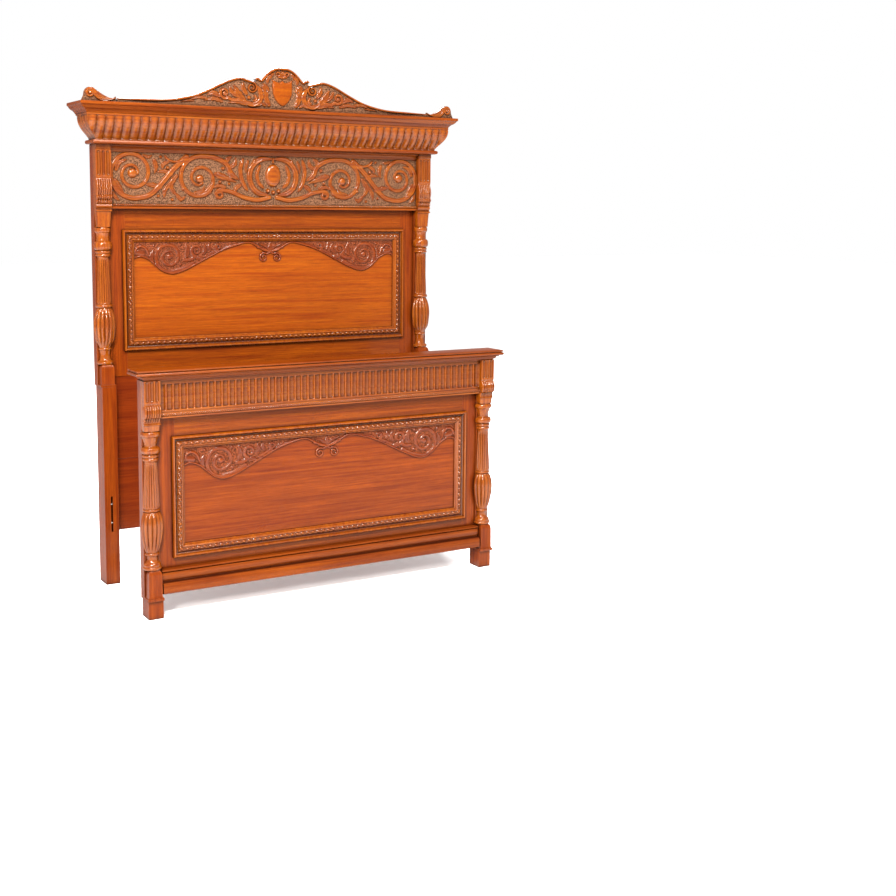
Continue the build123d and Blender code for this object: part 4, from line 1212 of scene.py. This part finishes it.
def build_figure_group():
    """Streaks, clouds and pores of timber whose grain runs along the vector's X."""
    group, entry, leave = node_group("Timber figure", [("Vector", "NodeSocketVector", None)],
                                     [("Streak", "NodeSocketFloat"), ("Cloud", "NodeSocketFloat"),
                                      ("Pores", "NodeSocketFloat")])
    vector = entry.outputs["Vector"]
    streak = noise(group, vector, (1.3, 44.0, 44.0), 1.7, 6.0, 0.6)
    fine = noise(group, vector, (5.0, 190.0, 190.0), 1.0, 3.0)
    both = maths(group, "ADD", maths(group, "MULTIPLY", streak, 0.62), maths(group, "MULTIPLY", fine, 0.38))
    cloud = noise(group, vector, (0.9, 3.2, 3.2), 1.3, 3.0, 0.4)
    pores = noise(group, vector, (22.0, 720.0, 720.0), 1.0, 2.0)
    group.links.new(ramp(group, both, 0.36, 0.64), leave.inputs["Streak"])
    group.links.new(ramp(group, cloud, 0.3, 0.7), leave.inputs["Cloud"])
    group.links.new(ramp(group, pores, 0.36, 0.52, 1.0, 0.0), leave.inputs["Pores"])
    return group


def build_shade_and_wear_group():
    """Painted shade in hollows, from ambient occlusion, and where edges are rubbed."""
    group, entry, leave = node_group("Painted shade and rubbed edges", [("Vector", "NodeSocketVector", None)],
                                     [("Hollow shade", "NodeSocketFloat"), ("Edge", "NodeSocketFloat"),
                                      ("Normal", "NodeSocketVector")])
    shadow = group.nodes.new("ShaderNodeAmbientOcclusion")
    shadow.samples = 6
    shadow.inputs["Distance"].default_value = 0.020
    rounding = group.nodes.new("ShaderNodeBevel")
    rounding.samples = 4
    rounding.inputs["Radius"].default_value = 0.0011
    geometry = group.nodes.new("ShaderNodeNewGeometry")
    product = group.nodes.new("ShaderNodeVectorMath")
    product.operation = "DOT_PRODUCT"
    group.links.new(rounding.outputs["Normal"], product.inputs[0])
    group.links.new(geometry.outputs["Normal"], product.inputs[1])
    patch = noise(group, entry.outputs["Vector"], (1.0, 1.0, 1.0), 21.0, 4.0)
    edge = maths(group, "MULTIPLY", ramp(group, product.outputs["Value"], 0.99, 0.86),
                 ramp(group, patch, 0.38, 0.62))
    # This output is painted shade: ambient occlusion darkens creases and recesses.
    group.links.new(ramp(group, shadow.outputs["AO"], 0.32, 0.92, 1.0, 0.0), leave.inputs["Hollow shade"])
    group.links.new(edge, leave.inputs["Edge"])
    group.links.new(rounding.outputs["Normal"], leave.inputs["Normal"])
    return group


def timber(name, turn, light, dark, colours, gloss, figure, shade_and_wear, behind=(0.0, 0.0, 0.0), coat=0.06):
    """Varnished timber; turn points its grain along X by turning the object's coordinates."""
    material = bpy.data.materials.new(name)
    material.use_nodes = True
    tree = material.node_tree
    shader = tree.nodes["Principled BSDF"]
    where = tree.nodes.new("ShaderNodeTexCoord")
    grain = tree.nodes.new("ShaderNodeMapping")
    grain.inputs["Rotation"].default_value = turn
    tree.links.new(where.outputs["Object"], grain.inputs["Vector"])
    figured = tree.nodes.new("ShaderNodeGroup")
    figured.node_tree = figure
    tree.links.new(grain.outputs["Vector"], figured.inputs["Vector"])
    shade_and_wear_node = tree.nodes.new("ShaderNodeGroup")
    shade_and_wear_node.node_tree = shade_and_wear
    tree.links.new(grain.outputs["Vector"], shade_and_wear_node.inputs["Vector"])
    carving = tree.nodes.new("ShaderNodeAttribute")
    carving.attribute_name = "ground"
    ground = ramp(tree, carving.outputs["Fac"], 0.15, 0.95)
    # cut is the painted shade that the attribute marks below 0, on the sides of the carving and in grooves.
    cut = ramp(tree, carving.outputs["Fac"], 0.0, -1.0, 0.0, 0.92)

    colour = blend_colour(tree, figured.outputs["Streak"], dark, light)
    colour = blend_colour(tree, maths(tree, "MULTIPLY", figured.outputs["Cloud"], 0.30), colour,
                          tinted(dark, 0.62))
    colour = blend_colour(tree, maths(tree, "MULTIPLY", figured.outputs["Pores"], 0.28), colour,
                          tuple(colours.pores_and_shade))
    speckle = ramp(tree, noise(tree, where.outputs["Object"], (1.0, 1.0, 1.0), 230.0, 2.0), 0.42, 0.58)
    dull = blend_colour(tree, speckle, tinted(behind, 0.3), tinted(behind, 1.9))
    colour = blend_colour(tree, ground, colour, dull)
    # Painted shade: ambient occlusion and the shaded sides of the carving darken the colour here.
    hollow_shade = maths(tree, "MULTIPLY", shade_and_wear_node.outputs["Hollow shade"], 0.88)
    colour = blend_colour(tree, maths(tree, "MAXIMUM", hollow_shade, cut), colour, tuple(colours.pores_and_shade))
    colour = blend_colour(tree, maths(tree, "MULTIPLY", shade_and_wear_node.outputs["Edge"], 0.40), colour,
                          tuple(min(1.0, part * 1.35 + 0.03) for part in light))
    tree.links.new(colour, shader.inputs["Base Color"])

    rough = maths(tree, "ADD", maths(tree, "MULTIPLY", figured.outputs["Cloud"], 0.10), gloss)
    rough = maths(tree, "ADD", rough, maths(tree, "MULTIPLY", ground, 0.30))
    tree.links.new(rough, shader.inputs["Roughness"])
    glance = tree.nodes.new("ShaderNodeLayerWeight")
    direct = ramp(tree, glance.outputs["Facing"], 0.35, 0.75, 1.0, 0.04)
    polish = maths(tree, "SUBTRACT", coat, maths(tree, "MULTIPLY", ground, coat))
    polish = maths(tree, "MULTIPLY", polish, direct)
    tree.links.new(polish, shader.inputs["Coat Weight"])
    shader.inputs["Coat Roughness"].default_value = 0.12
    tree.links.new(maths(tree, "MULTIPLY", direct, 0.13), shader.inputs["Specular IOR Level"])
    shader.inputs["Specular Tint"].default_value = (1.0, 0.66, 0.42, 1.0)

    dots = tree.nodes.new("ShaderNodeTexVoronoi")
    dots.inputs["Scale"].default_value = 330.0
    tree.links.new(where.outputs["Object"], dots.inputs["Vector"])
    pitted = maths(tree, "MULTIPLY", figured.outputs["Pores"], 0.20)
    punched = maths(tree, "MULTIPLY", dots.outputs["Distance"], ground)
    relief_height = tree.nodes.new("ShaderNodeMath")
    relief_height.operation = "SUBTRACT"
    tree.links.new(punched, relief_height.inputs[0])
    tree.links.new(pitted, relief_height.inputs[1])
    bump = tree.nodes.new("ShaderNodeBump")
    bump.inputs["Strength"].default_value = 0.35
    bump.inputs["Distance"].default_value = 0.0009
    tree.links.new(relief_height.outputs["Value"], bump.inputs["Height"])
    tree.links.new(shade_and_wear_node.outputs["Normal"], bump.inputs["Normal"])
    tree.links.new(bump.outputs["Normal"], shader.inputs["Normal"])
    return material


def dull_metal(name, shade_and_wear):
    """Dark steel with rubbed edges."""
    material = bpy.data.materials.new(name)
    material.use_nodes = True
    tree = material.node_tree
    shader = tree.nodes["Principled BSDF"]
    where = tree.nodes.new("ShaderNodeTexCoord")
    shade_and_wear_node = tree.nodes.new("ShaderNodeGroup")
    shade_and_wear_node.node_tree = shade_and_wear
    tree.links.new(where.outputs["Object"], shade_and_wear_node.inputs["Vector"])
    cloud = noise(tree, where.outputs["Object"], (1.0, 1.0, 1.0), 90.0, 4.0)
    colour = blend_colour(tree, cloud, (0.16, 0.15, 0.14), (0.30, 0.29, 0.28))
    colour = blend_colour(tree, shade_and_wear_node.outputs["Edge"], colour, (0.55, 0.54, 0.52))
    tree.links.new(colour, shader.inputs["Base Color"])
    tree.links.new(ramp(tree, cloud, 0.3, 0.7, 0.35, 0.6), shader.inputs["Roughness"])
    shader.inputs["Metallic"].default_value = 1.0
    bump = tree.nodes.new("ShaderNodeBump")
    bump.inputs["Strength"].default_value = 0.2
    bump.inputs["Distance"].default_value = 0.0003
    tree.links.new(cloud, bump.inputs["Height"])
    tree.links.new(shade_and_wear_node.outputs["Normal"], bump.inputs["Normal"])
    tree.links.new(bump.outputs["Normal"], shader.inputs["Normal"])
    return material


ALONG = (0.0, 0.0, 0.0)
UPRIGHT = (0.0, math.radians(90), 0.0)


class BED_OT_finishes(bpy.types.Operator):
    """Mix the varnished mahogany, the softwood and the steel"""

    bl_idname = "bed.finishes"
    bl_label = "Finishes"

    def execute(self, context):
        colours = context.scene.bed_colours
        figure, shade_and_wear = build_figure_group(), build_shade_and_wear_group()
        light, dark = tuple(colours.light_wood), tuple(colours.dark_wood)
        deeper = tinted(light, 0.60, 0.37, 1), tinted(dark, 0.48, 0.31, 1)
        redder = tinted(light, 0.72, 0.57, 1), tinted(dark, 0.58, 0.46, 1)
        warmer = tinted(light, 0.74, 0.68, 1), tinted(dark, 0.60, 0.55, 1)
        middle = tinted(light, 0.90, 0.98, 1), tinted(dark, 0.80, 0.84, 1)
        timber("panel mahogany", ALONG, light, dark, colours, 0.24, figure, shade_and_wear)
        timber("plain mahogany", ALONG, *redder, colours, 0.26, figure, shade_and_wear)
        timber("mahogany along", ALONG, *warmer, colours, 0.24, figure, shade_and_wear, coat=0.08)
        timber("mahogany upright", UPRIGHT, *redder, colours, 0.26, figure, shade_and_wear)
        timber("turned mahogany", UPRIGHT, *middle, colours, 0.17, figure, shade_and_wear, coat=0.36)
        timber("carved mahogany", ALONG, *middle, colours, 0.19, figure, shade_and_wear, tuple(colours.ground), 0.32)
        timber("spandrel mahogany", ALONG, *redder, colours, 0.19, figure, shade_and_wear,
               tuple((a + 2 * b) / 3 for a, b in zip(colours.ground, redder[1])), 0.30)
        timber("board mahogany", ALONG, *deeper, colours, 0.30, figure, shade_and_wear)
        soft = tuple(colours.softwood)
        timber("softwood", ALONG, soft, tinted(soft, 0.7), colours, 0.6, figure, shade_and_wear)
        dull_metal("steel", shade_and_wear)
        return {"FINISHED"}


FRAME_FINISHES = (
    ("steel", ("headboard_rail_pins", "footboard_rail_pins")),
    ("softwood", ("cornice_back_board", "cornice_bottom_board", "cornice_glue_blocks", "headboard_dowels",
                  "footboard_dowels")),
    ("panel mahogany", ("headboard_panel",)),
    ("plain mahogany", ("footboard_panel",)),
    ("board mahogany", ("headboard_upper_board", "headboard_lower_board")),
    ("mahogany along", ("headboard_top_rail", "headboard_bottom_rail", "footboard_top_rail",
                        "footboard_bottom_rail", "cornice_top_board")),
    ("mahogany upright", tuple(f"{board}_{part}_{side}" for board in BOARDS for side, _ in SIDES
                               for part in ("post", "stile"))),
)


class BED_OT_frame_finish(bpy.types.Operator):
    """Varnish the frame's own boards, rails and posts"""

    bl_idname = "bed.frame_finish"
    bl_label = "Frame finish"

    def execute(self, context):
        for material, nodes in FRAME_FINISHES:
            for name in nodes:
                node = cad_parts[name]
                node.data.materials.clear()
                node.data.materials.append(bpy.data.materials[material])
        return {"FINISHED"}


# --- stage ------------------------------------------------------------------------------

CAMERA_PLACE = (-2.2289, -4.7368, 1.5067)
CAMERA_YAW, CAMERA_PITCH, CAMERA_ROLL = -30.8155, -6.6861, 0.4201
AIM = (0.0, 0.0, 0.95)


def area_light(name, place, size, power, colour):
    """A soft light, so wide and so high, turned towards the bed."""
    data = bpy.data.lights.new(name, "AREA")
    data.shape = "RECTANGLE"
    data.size, data.size_y = size
    data.energy = power
    data.color = colour
    lamp = bpy.data.objects.new(name, data)
    lamp.location = place
    lamp.rotation_euler = (Vector(AIM) - Vector(place)).to_track_quat("-Z", "Y").to_euler()
    bpy.context.scene.collection.objects.link(lamp)
    return lamp


class BED_OT_studio(bpy.types.Operator):
    """Set up the pale floor, the soft lights and the camera"""

    bl_idname = "bed.studio"
    bl_label = "Studio"

    def execute(self, context):
        scene = context.scene
        scene.view_settings.view_transform = "Standard"
        world = bpy.data.worlds.new("Studio")
        world.use_nodes = True
        background = world.node_tree.nodes["Background"]
        background.inputs["Color"].default_value = (1.0, 1.0, 1.0, 1.0)
        background.inputs["Strength"].default_value = 1.0
        scene.world = world

        deselect()
        bpy.ops.mesh.primitive_plane_add(size=60)
        floor = context.object
        floor.name = "floor"
        paper = bpy.data.materials.new("pale floor")
        paper.use_nodes = True
        shader = paper.node_tree.nodes["Principled BSDF"]
        for socket, value in (("Base Color", (0.92, 0.92, 0.92, 1.0)), ("Roughness", 0.8),
                              ("Emission Color", (1.0, 1.0, 1.0, 1.0)), ("Emission Strength", 0.08)):
            shader.inputs[socket].default_value = value
        floor.data.materials.append(paper)
        area_light("key_light", (-3.9, -4.6, 3.0), (0.45, 0.9), 330, (1.0, 0.98, 0.95))
        area_light("glint_light", (-2.4, -4.0, 4.4), (0.9, 0.9), 1050, (1.0, 0.99, 0.97))
        area_light("top_light", (0.4, -3.4, 5.2), (1.6, 1.2), 330, (1.0, 0.99, 0.97))
        area_light("back_light", (1.5, 5.0, 4.5), (2.0, 2.0), 1000, (1.0, 1.0, 1.0))

        yaw, pitch, roll = (math.radians(turn) for turn in (CAMERA_YAW, CAMERA_PITCH, CAMERA_ROLL))
        ahead = Vector((-math.sin(yaw) * math.cos(pitch), math.cos(yaw) * math.cos(pitch), math.sin(pitch)))
        right = Vector((math.cos(yaw), math.sin(yaw), 0))
        up = right.cross(ahead)
        turned_right = math.cos(roll) * right + math.sin(roll) * up
        turned_up = -math.sin(roll) * right + math.cos(roll) * up
        lens = bpy.data.cameras.new("camera")
        lens.lens = 51.65
        lens.sensor_width = 36.0
        lens.shift_x, lens.shift_y = 0.0257, -0.0982
        camera = bpy.data.objects.new("camera", lens)
        camera.matrix_world = Matrix((
            (turned_right.x, turned_up.x, -ahead.x, CAMERA_PLACE[0]),
            (turned_right.y, turned_up.y, -ahead.y, CAMERA_PLACE[1]),
            (turned_right.z, turned_up.z, -ahead.z, CAMERA_PLACE[2]),
            (0, 0, 0, 1)))
        scene.collection.objects.link(camera)
        scene.camera = camera
        return {"FINISHED"}


# --- add-on -----------------------------------------------------------------------------

STEPS = (BED_OT_finishes, BED_OT_turned_columns, BED_OT_pilasters, BED_OT_cornice, BED_OT_crest,
         BED_OT_headboard_frieze, BED_OT_panel_mouldings, BED_OT_spandrels, BED_OT_footboard_frieze,
         BED_OT_footboard_mouldings, BED_OT_frame_finish, BED_OT_studio)


class BED_PT_sidebar(bpy.types.Panel):
    """The bed's sizes, colours and build steps"""

    bl_idname = "BED_PT_sidebar"
    bl_label = "Carved bed"
    bl_space_type = "VIEW_3D"
    bl_region_type = "UI"
    bl_category = "Bed"

    def draw(self, context):
        for settings in (context.scene.bed_sizes, context.scene.bed_colours):
            box = self.layout.box()
            for name in settings.bl_rna.properties.keys():
                if name not in ("rna_type", "name"):
                    box.prop(settings, name)
        for step in STEPS:
            self.layout.operator(step.bl_idname)


CLASSES = (BedSizes, BedColours, *STEPS, BED_PT_sidebar)


def register():
    for part in CLASSES:
        bpy.utils.register_class(part)
    bpy.types.Scene.bed_sizes = bpy.props.PointerProperty(type=BedSizes)
    bpy.types.Scene.bed_colours = bpy.props.PointerProperty(type=BedColours)


def unregister():
    del bpy.types.Scene.bed_colours
    del bpy.types.Scene.bed_sizes
    for part in reversed(CLASSES):
        bpy.utils.unregister_class(part)


def main():
    register()
    for step in STEPS:
        group, action = step.bl_idname.split(".")
        if getattr(getattr(bpy.ops, group), action)() != {"FINISHED"}:
            raise RuntimeError(step.bl_label + " did not finish")


if __name__ == "__main__":
    main()
